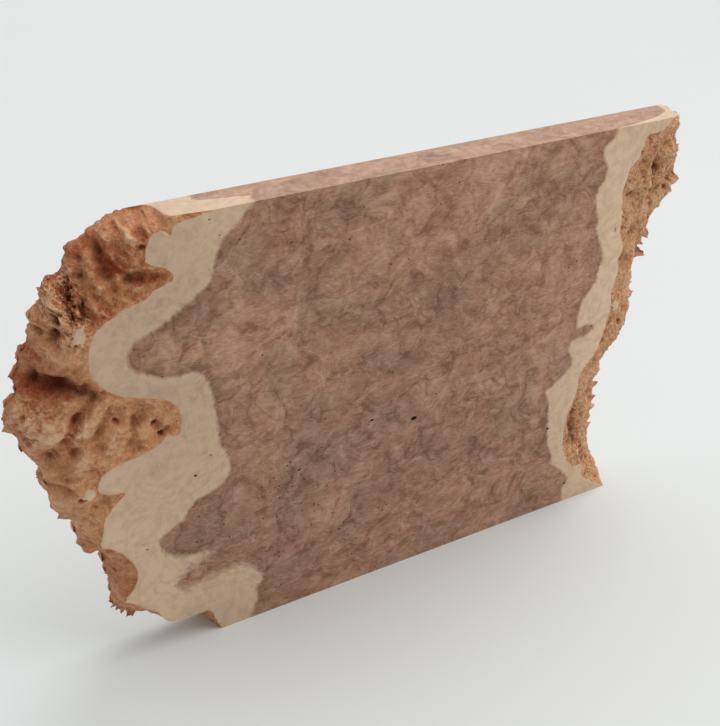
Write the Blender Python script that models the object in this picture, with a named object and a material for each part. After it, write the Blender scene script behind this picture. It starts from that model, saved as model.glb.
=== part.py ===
"""Mallee burl slab: a board sawn from a burl, standing on its long sawn edge.

Two parallel saw cuts make the front and back faces, and two more make the top and bottom edges.
Both ends keep the burl's own outside, with its lobes, hollows and thorns, which slopes from the
front cut out to the back cut. Sizes are in millimetres here and become metres in the mesh. x runs
along the slab from the base's front left corner, y from the front cut to the back one, z upwards.
"""
import bpy
import bmesh
import numpy as np
from mathutils import Vector, noise
from mathutils.geometry import delaunay_2d_cdt

MM = 0.001
THICKNESS = 19.0
HEIGHT = 240.0
CENTRE_X = 104.9       # middle of the slab's whole length, where the model's origin stands
SPACING = 2.2          # between neighbouring points of the burl's outside
SKIN = 0.2             # least depth of the outside behind a saw cut, so that the cuts stay flat
THORN_DROOP = 1.5      # how far a thorn's tip hangs below its root's level
THORN_GAP = 0.4        # between a thorn's root and the back cut's edge
FRONT_FADE = 5.0       # distance from the front cut's edge at which the relief is full
BACK_FADE = 4.0        # the same from the back cut's edge
LEVEL_FADE = 6.0       # height from the top and bottom cuts at which it may lean up or down
SHAKE = 0.14           # how far a loose point is moved off the even grid, as a share of SPACING
CLEARANCE = 0.62       # least distance of a loose point from the lines, as a share of SPACING
SHARP = 0.9            # radians between two faces that meet in a crisp edge, as at a saw cut
SEED = 11

# Edge of the front saw cut, from the top downwards
FRONT_LEFT = [
    (15.5, 240), (9, 238.6), (3, 238), (-2.5, 236), (-4, 232.6), (-6.5, 235), (-11, 235),
    (-14.5, 230.5), (-15.5, 223), (-12.5, 220.3), (-7.5, 218), (-5, 214.3), (-6.5, 211.5),
    (-14, 209.3), (-18, 206), (-27, 203.5), (-38, 198), (-43, 192), (-45.5, 182), (-44.5, 174),
    (-40, 167), (-32, 160.5), (-23, 157.5), (-14, 153), (-9.5, 147), (-8.8, 139), (-11, 133),
    (-16.5, 134), (-20, 131), (-30, 127.5), (-40, 126), (-48, 122), (-50.8, 115), (-46, 110.8),
    (-39, 109), (-44, 104), (-50, 97), (-52.5, 88), (-54.3, 82), (-49, 78), (-43, 70), (-39.3, 60),
    (-41, 51), (-47.5, 42.8), (-44, 39.5), (-38, 32.5), (-33, 28), (-28, 19.5), (-20, 16.8),
    (-6, 16), (-2.6, 8), (0, 0)]
FRONT_RIGHT = [
    (266, 240), (264, 239), (261.8, 236.5), (259, 234.2), (254.7, 233.4), (250.4, 233.4),
    (247.9, 231.5), (247, 227.5), (244.8, 221.5), (240.6, 217), (239.8, 213), (237.8, 204),
    (239.5, 193), (240.3, 181), (243.8, 171), (241.5, 164), (243, 156), (240.2, 145),
    (241.5, 136), (240, 125), (236.5, 110), (231, 101), (226.5, 94), (224.8, 80), (220.5, 66),
    (220, 50), (223.5, 35), (230, 26.3), (237.5, 24.5), (238.8, 16), (246, 9), (258.7, 0)]

# Edge of the back saw cut, from the top downwards
BACK_LEFT = [
    (-17.5, 240), (-24.5, 238.8), (-30, 236.2), (-35.9, 233.5), (-37.5, 231.2), (-42.7, 229.4),
    (-44.6, 225.4), (-46.4, 220.4), (-49, 217.4), (-55, 216), (-57.4, 212.5), (-58.2, 208),
    (-62.5, 203.5), (-64.2, 199), (-65.8, 192), (-67.3, 188), (-70.6, 186), (-71.6, 180),
    (-74.5, 174.3), (-75.3, 166), (-79.5, 163.2), (-81.9, 157.1), (-83.1, 150.7), (-80, 144.9),
    (-78.8, 140), (-76.8, 133.4), (-72.6, 125.5), (-73.9, 119), (-73.2, 114.8), (-70.6, 109),
    (-71, 101.7), (-69.9, 97.3), (-67.9, 93.8), (-64.2, 92.2), (-62.8, 86), (-62.8, 78.5),
    (-62.2, 74), (-60.5, 70.8), (-56.5, 70.5), (-52.8, 69.5), (-52.1, 60), (-51.9, 52),
    (-51.1, 42.3), (-51.5, 28), (-49.2, 23), (-46.3, 19.4), (-43, 16.8), (-38.5, 16.8),
    (-33, 17), (-27, 13.5), (-20, 9.5), (-10, 5), (-7.5, 0)]
BACK_RIGHT = [
    (272.5, 240), (279, 237), (284.6, 233.6), (285.4, 231.8), (283.6, 229.2), (283.8, 225.5),
    (285.6, 221), (287.6, 216), (288.2, 211), (288.2, 205.5), (289.6, 199.5), (289.4, 194),
    (288.4, 190), (285.8, 186), (281.6, 181.2), (278.2, 176), (276.6, 170), (275, 165),
    (272.2, 160), (271.2, 154), (268.7, 149), (268, 142), (268.7, 136), (269.8, 129),
    (270.4, 122), (269.4, 115), (268.6, 107.5), (267, 102), (264, 97.5), (260.3, 90),
    (256.5, 86), (253.4, 82.5), (253.2, 75.5), (254.2, 67), (254.6, 60), (254.2, 50), (254, 43),
    (254.4, 36), (255.4, 28), (257, 21), (259.5, 13), (261.5, 6), (262.5, 0)]

# Left edge of the top saw cut: x, and the depth y at which the outside meets the cut there
TOP_EDGE = [(-17.5, 19), (-9, 18.7), (-6.4, 16), (-5.2, 11), (-4.2, 5), (-2.6, 2.4), (5, 1.4),
            (15.5, 0)]
TOP_FALL = 4.5         # height below the top cut over which that edge shapes the outside

# Bumps that rise as far as the front cut and show there as islands: middle x, z and half sizes
ISLANDS = [(-47.3, 196, 2.2, 4.2), (-54.8, 114, 2.6, 3.0), (244.8, 135, 2.4, 3.4)]

# Thorns that stand out past the back cut's edge: the tip's x, z and y, and the root's radius
THORNS = [
    (-58.4, 214.5, 16, 2.4), (-72, 186.5, 15, 2.6), (-84.4, 150, 15, 2.8),
    (-75, 120.6, 16, 3.6), (-69.4, 92.4, 17, 2.8), (-64, 75.4, 17, 2.0), (-60.2, 67.4, 17, 1.8),
    (-57.5, 65.4, 17, 2.0), (-53.4, 52.6, 14, 2.2), (-53, 25, 17, 2.0), (-50.7, 22.3, 17, 1.8),
    (-48.2, 18.4, 17, 1.8), (-45.7, 15.6, 17, 1.8), (-42.4, 13.6, 17, 2.2),
    (289.6, 216.4, 17, 1.8), (289.8, 212.4, 17, 1.8), (294.2, 195.2, 17, 4.6),
    (289.6, 188, 17, 2.8), (277.4, 165.5, 17, 2.8), (276.8, 162.6, 17, 2.0),
    (275, 158.6, 17, 1.8), (276, 154.4, 17, 3.0), (274.8, 151.8, 17, 2.4),
    (271.6, 135.8, 17, 1.8), (273.8, 129, 17, 2.8), (272.6, 121, 17, 3.0),
    (270.8, 111, 17, 2.4), (269.2, 104, 17, 2.2), (256.8, 78.6, 17, 3.4),
    (257.2, 70.2, 17, 3.0), (257.4, 59.5, 17, 3.2), (257.4, 52.8, 17, 2.8),
    (256.4, 39.6, 17, 2.2)]

# Hills and valleys of the outside, each along a line: its two ends, half width and height
HILLS = [
    (-70, 156, -63, 149, 10.0, 5.0), (-44, 159, -56, 133, 4.0, 2.6),
    (-33, 150, -43, 127, 4.0, 2.2), (-22, 150, -27, 137, 4.0, 1.6),
    (-29, 236, -27, 218, 3.0, 2.4), (-37, 232, -35, 214, 3.0, 2.4),
    (-20, 232, -19, 222, 2.6, 1.8), (-44, 222, -40, 206, 3.0, 1.6),
    (-55, 208, -52, 198, 4.0, 2.2), (-63, 190, -58, 184, 4.0, 2.2),
    (-72, 126, -68, 122, 3.6, 2.4), (-70, 112, -65, 108, 3.6, 2.2),
    (-60, 127, -52, 134, 3.2, 1.4), (-62, 97, -56, 92, 3.4, 1.6),
    (256, 222, 258, 205, 3.6, 1.6),
    (272, 205, 280, 196, 4.0, 2.0),
    (252, 190, 262, 176, 3.4, 1.6), (258, 160, 256, 148, 3.4, 1.6),
    (236, 76, 240, 60, 3.0, 1.4), (240, 40, 254, 14, 3.0, 1.4)]
VALLEYS = [
    (-74, 176, -60, 171, 4.6, 5.0), (-60, 171, -46, 165, 4.0, 4.6),
    (-46.5, 161, -54, 153.5, 2.4, 3.2), (-54, 153.5, -61, 143, 2.6, 3.4),
    (-61, 143, -69, 135, 2.6, 2.2), (-41.5, 152.5, -47, 143, 2.2, 2.2),
    (-47, 143, -57.5, 136, 2.2, 2.4), (-30, 147, -33, 134, 2.4, 1.8),
    (-24.5, 234, -26, 225, 2.2, 2.4), (-33.5, 232, -34, 219, 2.2, 2.6),
    (-29, 222, -23.5, 216, 2.6, 2.2), (-23.5, 216, -8, 214, 2.8, 2.4),
    (-41, 226, -43, 204, 1.8, 3.0),
    (-57, 198, -58, 194, 3.0, 4.4), (-49, 214, -49, 202, 1.8, 2.6),
    (-21, 143, -19, 141, 1.8, 2.2), (-17, 136, -15, 138, 2.0, 2.2),
    (-66, 119, -62, 116, 2.6, 2.0), (-16, 229, -17, 226, 1.8, 2.0),
    (264, 216, 262, 200, 2.4, 1.6), (270, 180, 258, 168, 2.4, 1.6),
    (250, 132, 256, 118, 2.4, 1.4), (228, 62, 234, 40, 2.6, 2.2)]

# The smooth facet low on the left end, where the outside broke away flat: middle x, z and half sizes
FACET = (-46.0, 52.0, 14.0, 21.0)

# How much of the slope to the back comes as a last round-over, at the left and the right end: the
# least and the most of it, and the heights between which it grows
ROUND_LEFT = (0.0, 0.72, 25, 65)
ROUND_RIGHT = (0.35, 0.65, 185, 215)

COARSE_LUMP, COARSE_HEIGHT = 13.0, 1.7
FINE_LUMP, FINE_HEIGHT = 5.5, 1.1


def clear_scene():
    for old in list(bpy.data.objects):
        bpy.data.objects.remove(old)


def curve(points, spacing):
    """Even points along a smooth curve through the given ones, with both ends kept."""
    knots = np.array([points[0], *points, points[-1]], float)
    t = np.linspace(0, 1, 12, endpoint=False)[:, None]
    spans = []
    for a, b, c, d in zip(knots, knots[1:], knots[2:], knots[3:]):
        bend = (2 * a - 5 * b + 4 * c - d) * t ** 2 + (3 * b - a - 3 * c + d) * t ** 3
        spans.append(b + 0.5 * ((c - a) * t + bend))
    line = np.vstack([*spans, knots[-1:]])
    run = np.concatenate([[0], np.cumsum(np.hypot(*np.diff(line, axis=0).T))])
    at = np.linspace(0, run[-1], max(2, round(run[-1] / spacing) + 1))
    return np.column_stack([np.interp(at, run, line[:, 0]), np.interp(at, run, line[:, 1])])


def ring(island, spacing):
    x, z, half_x, half_z = island
    count = max(8, round(2 * np.pi * half_z / spacing))
    turn = np.linspace(0, 2 * np.pi, count, endpoint=False)
    return np.column_stack([x + half_x * np.cos(turn), z + half_z * np.sin(turn)])


def straight(start, end, spacing):
    """Points between two ends, without the ends themselves."""
    count = max(1, round(np.hypot(*np.subtract(end, start)) / spacing))
    share = np.linspace(0, 1, count + 1)[1:-1, None]
    return np.asarray(start) + share * np.subtract(end, start)


class Outlines:
    """The edges of both cuts at one spacing of points."""

    def __init__(self, spacing, flat_spacing):
        self.front_left = curve(FRONT_LEFT, spacing)
        self.front_right = curve(FRONT_RIGHT, spacing)
        self.back_left = curve(BACK_LEFT, spacing)
        self.back_right = curve(BACK_RIGHT, spacing)
        self.islands = [ring(island, spacing) for island in ISLANDS]
        top_left, top_right = self.front_left[0], self.front_right[0]
        low_left, low_right = self.front_left[-1], self.front_right[-1]
        self.bottom = np.vstack([
            straight(self.back_left[-1], low_left, spacing), low_left,
            straight(low_left, low_right, flat_spacing), low_right,
            straight(low_right, self.back_right[-1], spacing)])
        self.top = np.vstack([
            straight(self.back_right[0], top_right, spacing / 3), top_right,
            straight(top_right, top_left, flat_spacing), top_left,
            straight(top_left, self.back_left[0], spacing)])
        self.outer = np.vstack([self.back_left, self.bottom, self.back_right[::-1], self.top])
        self.front = np.vstack([self.front_left, self.front_right[::-1]])


def inside(points, loop):
    x, z = points.T
    within = np.zeros(len(points), bool)
    for (x0, z0), (x1, z1) in zip(loop, np.roll(loop, -1, axis=0)):
        if z0 == z1:
            continue
        crossing = x0 + (x1 - x0) * (z - z0) / (z1 - z0)
        within ^= ((z0 > z) != (z1 > z)) & (x < crossing)
    return within


def soft_distance(points, samples, step):
    """Distance to a line given by even samples, rounded where two stretches are as near.

    The inverse sixth powers of the distances to the samples are added up. For a straight line
    that sum is 3 pi / 8 over the fifth power of the distance. The gradient comes with it.
    """
    reach = np.empty(len(points))
    slope = np.empty((len(points), 2))
    for start in range(0, len(points), 4000):
        part = slice(start, start + 4000)
        away = points[part, None, :] - samples[None, :, :]
        square = np.maximum((away ** 2).sum(axis=2), 1e-4)
        total = (step * square ** -3).sum(axis=1)
        reach[part] = (total * 8 / (3 * np.pi)) ** -0.2
        pull = (step * square ** -4)[:, :, None] * away
        slope[part] = (reach[part] * 1.2 / total)[:, None] * pull.sum(axis=1)
    return reach, slope


class Outside:
    """The burl's own outside, as a depth behind the front cut over each point (x, z)."""

    LINE_STEP = 0.8

    def __init__(self):
        step = self.LINE_STEP
        fronts = [curve(FRONT_LEFT, step), curve(FRONT_RIGHT, step)]
        fronts += [ring(island, step) for island in ISLANDS]
        self.front = np.vstack(fronts)
        self.back = np.vstack([curve(BACK_LEFT, step), curve(BACK_RIGHT, step)])

    def base(self, points):
        """Depth without relief, the outward normal and the distances to both cuts' edges."""
        front, front_slope = soft_distance(points, self.front, self.LINE_STEP)
        back, back_slope = soft_distance(points, self.back, self.LINE_STEP)
        share = front / (front + back)
        fall = np.sqrt(1 - np.minimum(share, 0.999) ** 2)
        turn = round_over(points)
        depth = THICKNESS * ((1 - turn) * share + turn * (1 - fall))
        near_top = ease((points[:, 1] - HEIGHT) / TOP_FALL + 1) * (points[:, 0] < TOP_EDGE[-1][0])
        depth += near_top * (np.interp(points[:, 0], *np.transpose(TOP_EDGE)) - depth)
        rate = THICKNESS * (1 - turn + turn * share / fall)
        across = back[:, None] * front_slope - front[:, None] * back_slope
        slope = rate[:, None] * across / ((front + back) ** 2)[:, None]
        normal = np.column_stack([slope[:, 0], -np.ones(len(points)), slope[:, 1]])
        normal /= np.linalg.norm(normal, axis=1)[:, None]
        return depth, normal, front, back

    def relief(self, points):
        """Height of hills, valleys and lumps over the base surface."""
        height = np.zeros(len(points))
        for hills, sign in ((HILLS, 1), (VALLEYS, -1)):
            for x0, z0, x1, z1, width, rise in hills:
                height += sign * rise * np.exp(-(segment_distance(points, x0, z0, x1, z1) / width) ** 2)
        height += np.array([lumps(x, z) for x, z in points])
        x, z, half_x, half_z = FACET
        return height * ease(np.hypot((points[:, 0] - x) / half_x, (points[:, 1] - z) / half_z))

    def spots(self, points):
        return np.column_stack([points[:, 0], self.base(points)[0], points[:, 1]])

    def place(self, points, thorns=True):
        """Points of the outside over (x, z), with relief and thorns, clear of all four cuts."""
        depth, normal, front, back = self.base(points)
        fade = ease(front / FRONT_FADE) * ease(back / BACK_FADE)
        level = np.minimum(points[:, 1], HEIGHT - points[:, 1])
        normal[:, 2] *= ease(level / LEVEL_FADE)
        spot = np.column_stack([points[:, 0], depth, points[:, 1]])
        placed = spot + normal * (self.relief(points) * fade)[:, None]
        if thorns:
            roots = self.roots()
            stubs = self.place(roots, thorns=False)
            for root, stub, (x, z, y, radius) in zip(self.spots(roots), stubs, THORNS):
                near = 1 - np.linalg.norm(spot - root, axis=1) / radius
                placed += np.maximum(near, 0)[:, None] * ((x, y, z) - stub)
        placed[:, 1] = np.clip(placed[:, 1], SKIN, THICKNESS - SKIN)
        placed[:, 2] = np.clip(placed[:, 2], SKIN, HEIGHT - SKIN)
        return placed

    def roots(self):
        """Where each thorn stands, a little inside the back cut's edge, as (x, z)."""
        spots = []
        for x, z, _, radius in THORNS:
            level = (x, z + THORN_DROOP)
            foot = self.back[np.argmin(((self.back - level) ** 2).sum(axis=1))]
            inward = (foot - level) / np.linalg.norm(foot - level)
            spots.append(foot + inward * (radius + THORN_GAP))
        return np.array(spots)


def round_over(points):
    """Share of the slope to the back that comes as a last round-over."""
    x, z = points.T
    left, right = (least + (most - least) * ease((z - low) / (high - low))
                   for least, most, low, high in (ROUND_LEFT, ROUND_RIGHT))
    return np.where(x < CENTRE_X, left, right)


def segment_distance(points, x0, z0, x1, z1):
    start = np.array([x0, z0], float)
    run = np.array([x1 - x0, z1 - z0], float)
    share = np.clip((points - start) @ run / (run @ run), 0, 1)
    return np.linalg.norm(points - start - share[:, None] * run, axis=1)


def ease(share):
    share = np.clip(share, 0, 1)
    return share * share * (3 - 2 * share)


def lumps(x, z):
    coarse = noise.noise(Vector((x, SEED, z)) / COARSE_LUMP)
    fine = noise.noise(Vector((x, 3 * SEED, z)) / FINE_LUMP)
    return 2 * (COARSE_HEIGHT * coarse + FINE_HEIGHT * fine)


def scatter(spacing, outlines, lines):
    """Slightly shaken grid points over the outside, clear of every edge and thorn point."""
    draw = np.random.default_rng(SEED)
    low, high = outlines.outer.min(axis=0), outlines.outer.max(axis=0)
    rows = np.arange(low[1], high[1], spacing * 0.866)
    columns = np.arange(low[0], high[0], spacing)
    x, z = np.meshgrid(columns, rows)
    x[1::2] += spacing / 2
    points = np.column_stack([x.ravel(), z.ravel()])
    points += draw.uniform(-SHAKE, SHAKE, points.shape) * spacing
    keep = inside(points, outlines.outer) & ~inside(points, outlines.front)
    for island in outlines.islands:
        keep &= ~inside(points, island)
    points = points[keep]
    gaps = np.full(len(points), np.inf)
    for near in lines:
        away = points[:, None, :] - near[None, :, :]
        gaps = np.minimum(gaps, np.sqrt((away ** 2).sum(axis=2)).min(axis=1))
    return points[gaps > CLEARANCE * spacing]


def triangulate(loops, lines, loose):
    """Triangles over the first loop's inside, with the other loops and lines kept as edges."""
    points, edges = [], []
    for line, closed in [(loop, True) for loop in loops] + [(line, False) for line in lines]:
        start = len(points)
        points += [Vector(point) for point in line]
        edges += [(start + i, start + i + 1) for i in range(len(line) - 1)]
        if closed:
            edges.append((start + len(line) - 1, start))
    points += [Vector(point) for point in loose]
    found = delaunay_2d_cdt(points, edges, [], 1, 1e-5)
    return np.array([tuple(point) for point in found[0]]), found[2]


def add_sheet(body, spots, faces):
    corners = [body.verts.new(Vector(spot)) for spot in spots]
    for face in faces:
        body.faces.new([corners[i] for i in face])


def front_sheet(body, outlines, outside):
    """The front cut and the burl's outside at both ends, in one sheet."""
    roots = outside.roots()
    turn = np.linspace(0, 2 * np.pi, 6, endpoint=False)
    collar = np.column_stack([np.cos(turn), np.sin(turn)])
    thorn_points = np.vstack([roots] + [root + collar * thorn[3] for root, thorn in zip(roots, THORNS)])
    thorn_points = thorn_points[inside(thorn_points, outlines.outer)]
    thorn_points = thorn_points[~inside(thorn_points, outlines.front)]
    lines = [outlines.front_left, outlines.front_right, outlines.outer, *outlines.islands]
    loose = np.vstack([thorn_points, scatter(SPACING, outlines, [*lines, thorn_points])])
    flat, faces = triangulate([outlines.outer, *outlines.islands],
                              [outlines.front_left, outlines.front_right], loose)
    spots = outside.place(flat)
    on_cut = touching(flat, np.vstack([outlines.front, *outlines.islands]))
    on_cut |= inside(flat, outlines.front)
    on_back = touching(flat, np.vstack([outlines.back_left, outlines.back_right]))
    on_sawn_edge = (flat[:, 1] < 1e-3) | (flat[:, 1] > HEIGHT - 1e-3)
    spots[:, 1] = np.where(on_sawn_edge, outside.base(flat)[0], spots[:, 1])
    spots[:, 1] = np.where(on_back, THICKNESS, spots[:, 1])
    spots[:, 1] = np.where(on_cut, 0, spots[:, 1])
    fixed = on_cut | on_back | on_sawn_edge
    spots[fixed, 0] = flat[fixed, 0]
    spots[fixed, 2] = flat[fixed, 1]
    add_sheet(body, spots, faces)
    return spots, flat, on_sawn_edge


def touching(points, marks):
    away = points[:, None, :] - marks[None, :, :]
    return (away ** 2).sum(axis=2).min(axis=1) < 1e-4


def sawn_edges(body, spots, flat, on_sawn_edge):
    """The top and bottom cuts, between the front sheet's edge and the back cut."""
    for level in (0, HEIGHT):
        edge = spots[on_sawn_edge & (abs(flat[:, 1] - level) < 1)]
        edge = edge[np.argsort(edge[:, 0])]
        body.faces.new([body.verts.new(Vector(spot)) for spot in edge])


def back_face(body, outlines):
    edge = np.vstack([outlines.back_left, outlines.back_right[::-1]])
    spots = [(x, THICKNESS, z) for x, z in edge]
    body.faces.new([body.verts.new(Vector(spot)) for spot in spots])


def wood():
    material = bpy.data.materials.new("mallee_burl_wood")
    material.use_nodes = True
    shader = material.node_tree.nodes["Principled BSDF"]
    shader.inputs["Base Color"].default_value = (0.33, 0.20, 0.15, 1)
    shader.inputs["Roughness"].default_value = 0.7
    shader.inputs["Metallic"].default_value = 0
    return material


def burl_slab():
    outlines = Outlines(SPACING, 2 * HEIGHT)
    outside = Outside()
    body = bmesh.new()
    spots, flat, on_sawn_edge = front_sheet(body, outlines, outside)
    sawn_edges(body, spots, flat, on_sawn_edge)
    back_face(body, outlines)
    bmesh.ops.remove_doubles(body, verts=body.verts, dist=1e-3)
    bmesh.ops.recalc_face_normals(body, faces=body.faces)
    bmesh.ops.triangulate(body, faces=[face for face in body.faces if len(face.verts) > 3])
    for corner in body.verts:
        x, y, z = corner.co
        corner.co = Vector((x - CENTRE_X, y - THICKNESS / 2, z)) * MM
    mesh = bpy.data.meshes.new("burl_slab")
    body.to_mesh(mesh)
    body.free()
    mesh.shade_smooth()
    mesh.set_sharp_from_angle(angle=SHARP)
    mesh.materials.append(wood())
    slab = bpy.data.objects.new("burl_slab", mesh)
    bpy.context.scene.collection.objects.link(slab)
    return slab


clear_scene()
burl_slab()
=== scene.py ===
"""Mallee burl slab: the looks of a board sawn from a burl, standing on its long sawn edge.

The board's front, back, top and bottom are flat saw cuts through pinkish brown heartwood and cream
sapwood. Both ends keep the burl's own outside, a lumpy skin with hollows, pits and thorns. Shapes
are worked out in millimetres: x along the slab from the base's front left corner, y from the front
cut to the back one, z upwards. Meshes are in metres, in the frame's place.
"""

import bpy
import bmesh
import numpy as np
from mathutils import Matrix, Vector, kdtree, noise
from mathutils.geometry import delaunay_2d_cdt, intersect_line_line_2d


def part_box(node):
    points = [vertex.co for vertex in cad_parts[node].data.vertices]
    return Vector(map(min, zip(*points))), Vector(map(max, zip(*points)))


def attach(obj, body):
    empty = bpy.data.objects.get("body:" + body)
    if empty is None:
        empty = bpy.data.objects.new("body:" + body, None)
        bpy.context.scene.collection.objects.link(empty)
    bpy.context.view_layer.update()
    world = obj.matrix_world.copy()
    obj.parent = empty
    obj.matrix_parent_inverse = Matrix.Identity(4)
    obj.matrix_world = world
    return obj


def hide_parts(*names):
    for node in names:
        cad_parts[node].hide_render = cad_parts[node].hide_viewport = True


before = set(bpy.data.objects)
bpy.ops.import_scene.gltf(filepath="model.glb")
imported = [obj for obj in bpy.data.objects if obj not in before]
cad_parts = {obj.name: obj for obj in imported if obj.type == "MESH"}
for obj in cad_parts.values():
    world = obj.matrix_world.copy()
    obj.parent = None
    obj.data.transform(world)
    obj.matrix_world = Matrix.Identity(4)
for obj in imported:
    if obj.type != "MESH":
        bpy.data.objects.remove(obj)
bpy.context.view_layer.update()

bl_info = {
    "name": "Mallee burl slab",
    "version": (1, 0, 0),
    "blender": (4, 5, 0),
    "location": "View3D > Sidebar > Burl",
    "description": "Builds a sawn slab of mallee burl and a plain stage for it",
    "category": "Object",
}

MM = 0.001
LOW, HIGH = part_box("burl_slab")
THICKNESS = (HIGH.y - LOW.y) / MM
HEIGHT = (HIGH.z - LOW.z) / MM
CENTRE_X = 104.9       # middle of the slab's whole length, where the frame's origin stands
SEED = 11
SKIN = 0.2             # least depth of the outside behind a saw cut
THORN_DROOP = 1.5      # how far a thorn's tip hangs below its root's level
THORN_GAP = 0.4        # between a thorn's root and the back cut's edge
FRONT_FADE = 5.0       # distance from the front cut's edge at which the relief is full
BACK_FADE = 4.0        # the same from the back cut's edge
FINE_FRONT_FADE = 1.2  # distance from the front cut's edge at which the grain is full
FINE_BACK_FADE = 2.0   # the same from the back cut's edge
LEVEL_FADE = 6.0       # height from the top and bottom cuts at which it may lean up or down
SAME = 0.01            # points nearer to each other than this are one point
WELD = 0.001           # corners of two sheets nearer than this are joined
SHAKE = 0.14           # how far a loose point is moved off the even grid, as a share of its step
ROW = 0.866            # distance of that grid's rows, as a share of its step
CLEARANCE = 0.62       # least distance of a loose point from the lines, as a share of its step
FLAT_CLEARANCE = 0.6   # the same inside the front and back cuts
EDGE_CLEARANCE = 0.5   # the same inside the top and bottom cuts
EYE_CLEARANCE = 0.5    # least distance of an eye's points from those of an open pit
LONG_EDGE_STEP = 2.0   # distance between points of the back cut's straight edges
CORNER_FINER = 3       # how many times finer the points of the top right corner are
CURVE_PARTS = 12       # parts in which a smooth curve is worked out between two given points
RIM = 3.0              # width of the belt along the back cut that has finer points
LEVEL_GAP = 0.05       # least height of a shaken line's points from the top and bottom cuts
END_HOLD = 4           # points from a line's end over which its shake grows
LOOP_REACH = 14        # how many points along a line may lie in one small loop of it
SHARP = 0.9            # radians between two faces that meet in a crisp edge, as at a saw cut

# Shakes of each edge: how far they go and how long their waves are
FRONT_SHAKES = [(0.7, 2.2)]
BACK_LEFT_SHAKES = [(1.6, 4.6), (1.0, 1.8)]
BACK_RIGHT_SHAKES = [(1.3, 1.8)]
ISLAND_SHAKES = [(2.0, 2.2)]

# Edge of the front saw cut, from the top downwards
FRONT_LEFT = [
    (15.5, 240), (9, 238.6), (3, 238), (-2.5, 236), (-4, 232.6), (-6.5, 235), (-11, 235),
    (-14.5, 230.5), (-15.5, 223), (-12.5, 220.3), (-7.5, 218), (-5, 214.3), (-6.5, 211.5),
    (-14, 209.3), (-18, 206), (-27, 203.5), (-38, 198), (-43, 192), (-45.5, 182), (-44.5, 174),
    (-40, 167), (-32, 160.5), (-23, 157.5), (-14, 153), (-9.5, 147), (-8.8, 139), (-11, 133),
    (-16.5, 134), (-20, 131), (-30, 127.5), (-40, 126), (-48, 122), (-50.8, 115), (-46, 110.8),
    (-39, 109), (-44, 104), (-50, 97), (-52.5, 88), (-54.3, 82), (-49, 78), (-43, 70), (-39.3, 60),
    (-41, 51), (-47.5, 42.8), (-44, 39.5), (-38, 32.5), (-33, 28), (-28, 19.5), (-20, 16.8),
    (-6, 16), (-2.6, 8), (0, 0)]
FRONT_RIGHT = [
    (266, 240), (264, 239), (261.8, 236.5), (259, 234.2), (254.7, 233.4), (250.4, 233.4),
    (247.9, 231.5), (247, 227.5), (244.8, 221.5), (240.6, 217), (239.8, 213), (237.8, 204),
    (239.5, 193), (240.3, 181), (243.8, 171), (241.5, 164), (243, 156), (240.2, 145),
    (241.5, 136), (240, 125), (236.5, 110), (231, 101), (226.5, 94), (224.8, 80), (220.5, 66),
    (220, 50), (223.5, 35), (230, 26.3), (237.5, 24.5), (238.8, 16), (246, 9), (258.7, 0)]

# Edge of the back saw cut, from the top downwards
BACK_LEFT = [
    (-17.5, 240), (-24.5, 238.8), (-30, 236.2), (-35.9, 233.5), (-37.5, 231.2), (-42.7, 229.4),
    (-44.6, 225.4), (-46.4, 220.4), (-49, 217.4), (-55, 216), (-57.4, 212.5), (-58.2, 208),
    (-62.5, 203.5), (-64.2, 199), (-65.8, 192), (-67.3, 188), (-70.6, 186), (-71.6, 180),
    (-74.5, 174.3), (-75.3, 166), (-79.5, 163.2), (-81.9, 157.1), (-83.1, 150.7), (-80, 144.9),
    (-78.8, 140), (-76.8, 133.4), (-72.6, 125.5), (-73.9, 119), (-73.2, 114.8), (-70.6, 109),
    (-71, 101.7), (-69.9, 97.3), (-67.9, 93.8), (-64.2, 92.2), (-62.8, 86), (-62.8, 78.5),
    (-62.2, 74), (-60.5, 70.8), (-56.5, 70.5), (-52.8, 69.5), (-52.1, 60), (-51.9, 52),
    (-51.1, 42.3), (-51.5, 28), (-49.2, 23), (-46.3, 19.4), (-43, 16.8), (-38.5, 16.8),
    (-33, 17), (-27, 13.5), (-20, 9.5), (-10, 5), (-7.5, 0)]
BACK_RIGHT = [
    (272.5, 240), (279, 237), (284.6, 233.6), (285.4, 231.8), (283.6, 229.2), (283.8, 225.5),
    (285.6, 221), (287.6, 216), (288.2, 211), (288.2, 205.5), (289.6, 199.5), (289.4, 194),
    (288.4, 190), (285.8, 186), (281.6, 181.2), (278.2, 176), (276.6, 170), (275, 165),
    (272.2, 160), (271.2, 154), (268.7, 149), (268, 142), (268.7, 136), (269.8, 129),
    (270.4, 122), (269.4, 115), (268.6, 107.5), (267, 102), (264, 97.5), (260.3, 90),
    (256.5, 86), (253.4, 82.5), (253.2, 75.5), (254.2, 67), (254.6, 60), (254.2, 50), (254, 43),
    (254.4, 36), (255.4, 28), (257, 21), (259.5, 13), (261.5, 6), (262.5, 0)]

# Left edge of the top saw cut: x, and the depth y at which the outside meets the cut there
TOP_EDGE = [(-17.5, 19), (-9, 18.7), (-6.4, 16), (-5.2, 11), (-4.2, 5), (-2.6, 2.4), (5, 1.4),
            (15.5, 0)]
TOP_FALL = 4.5         # height below the top cut over which that edge shapes the outside

# Bumps that rise as far as the front cut and show there as islands: middle x, z and half sizes
ISLANDS = [(-47.3, 196, 2.2, 4.2), (-54.8, 114, 2.6, 3.0), (244.8, 135, 2.4, 3.4)]

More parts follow.
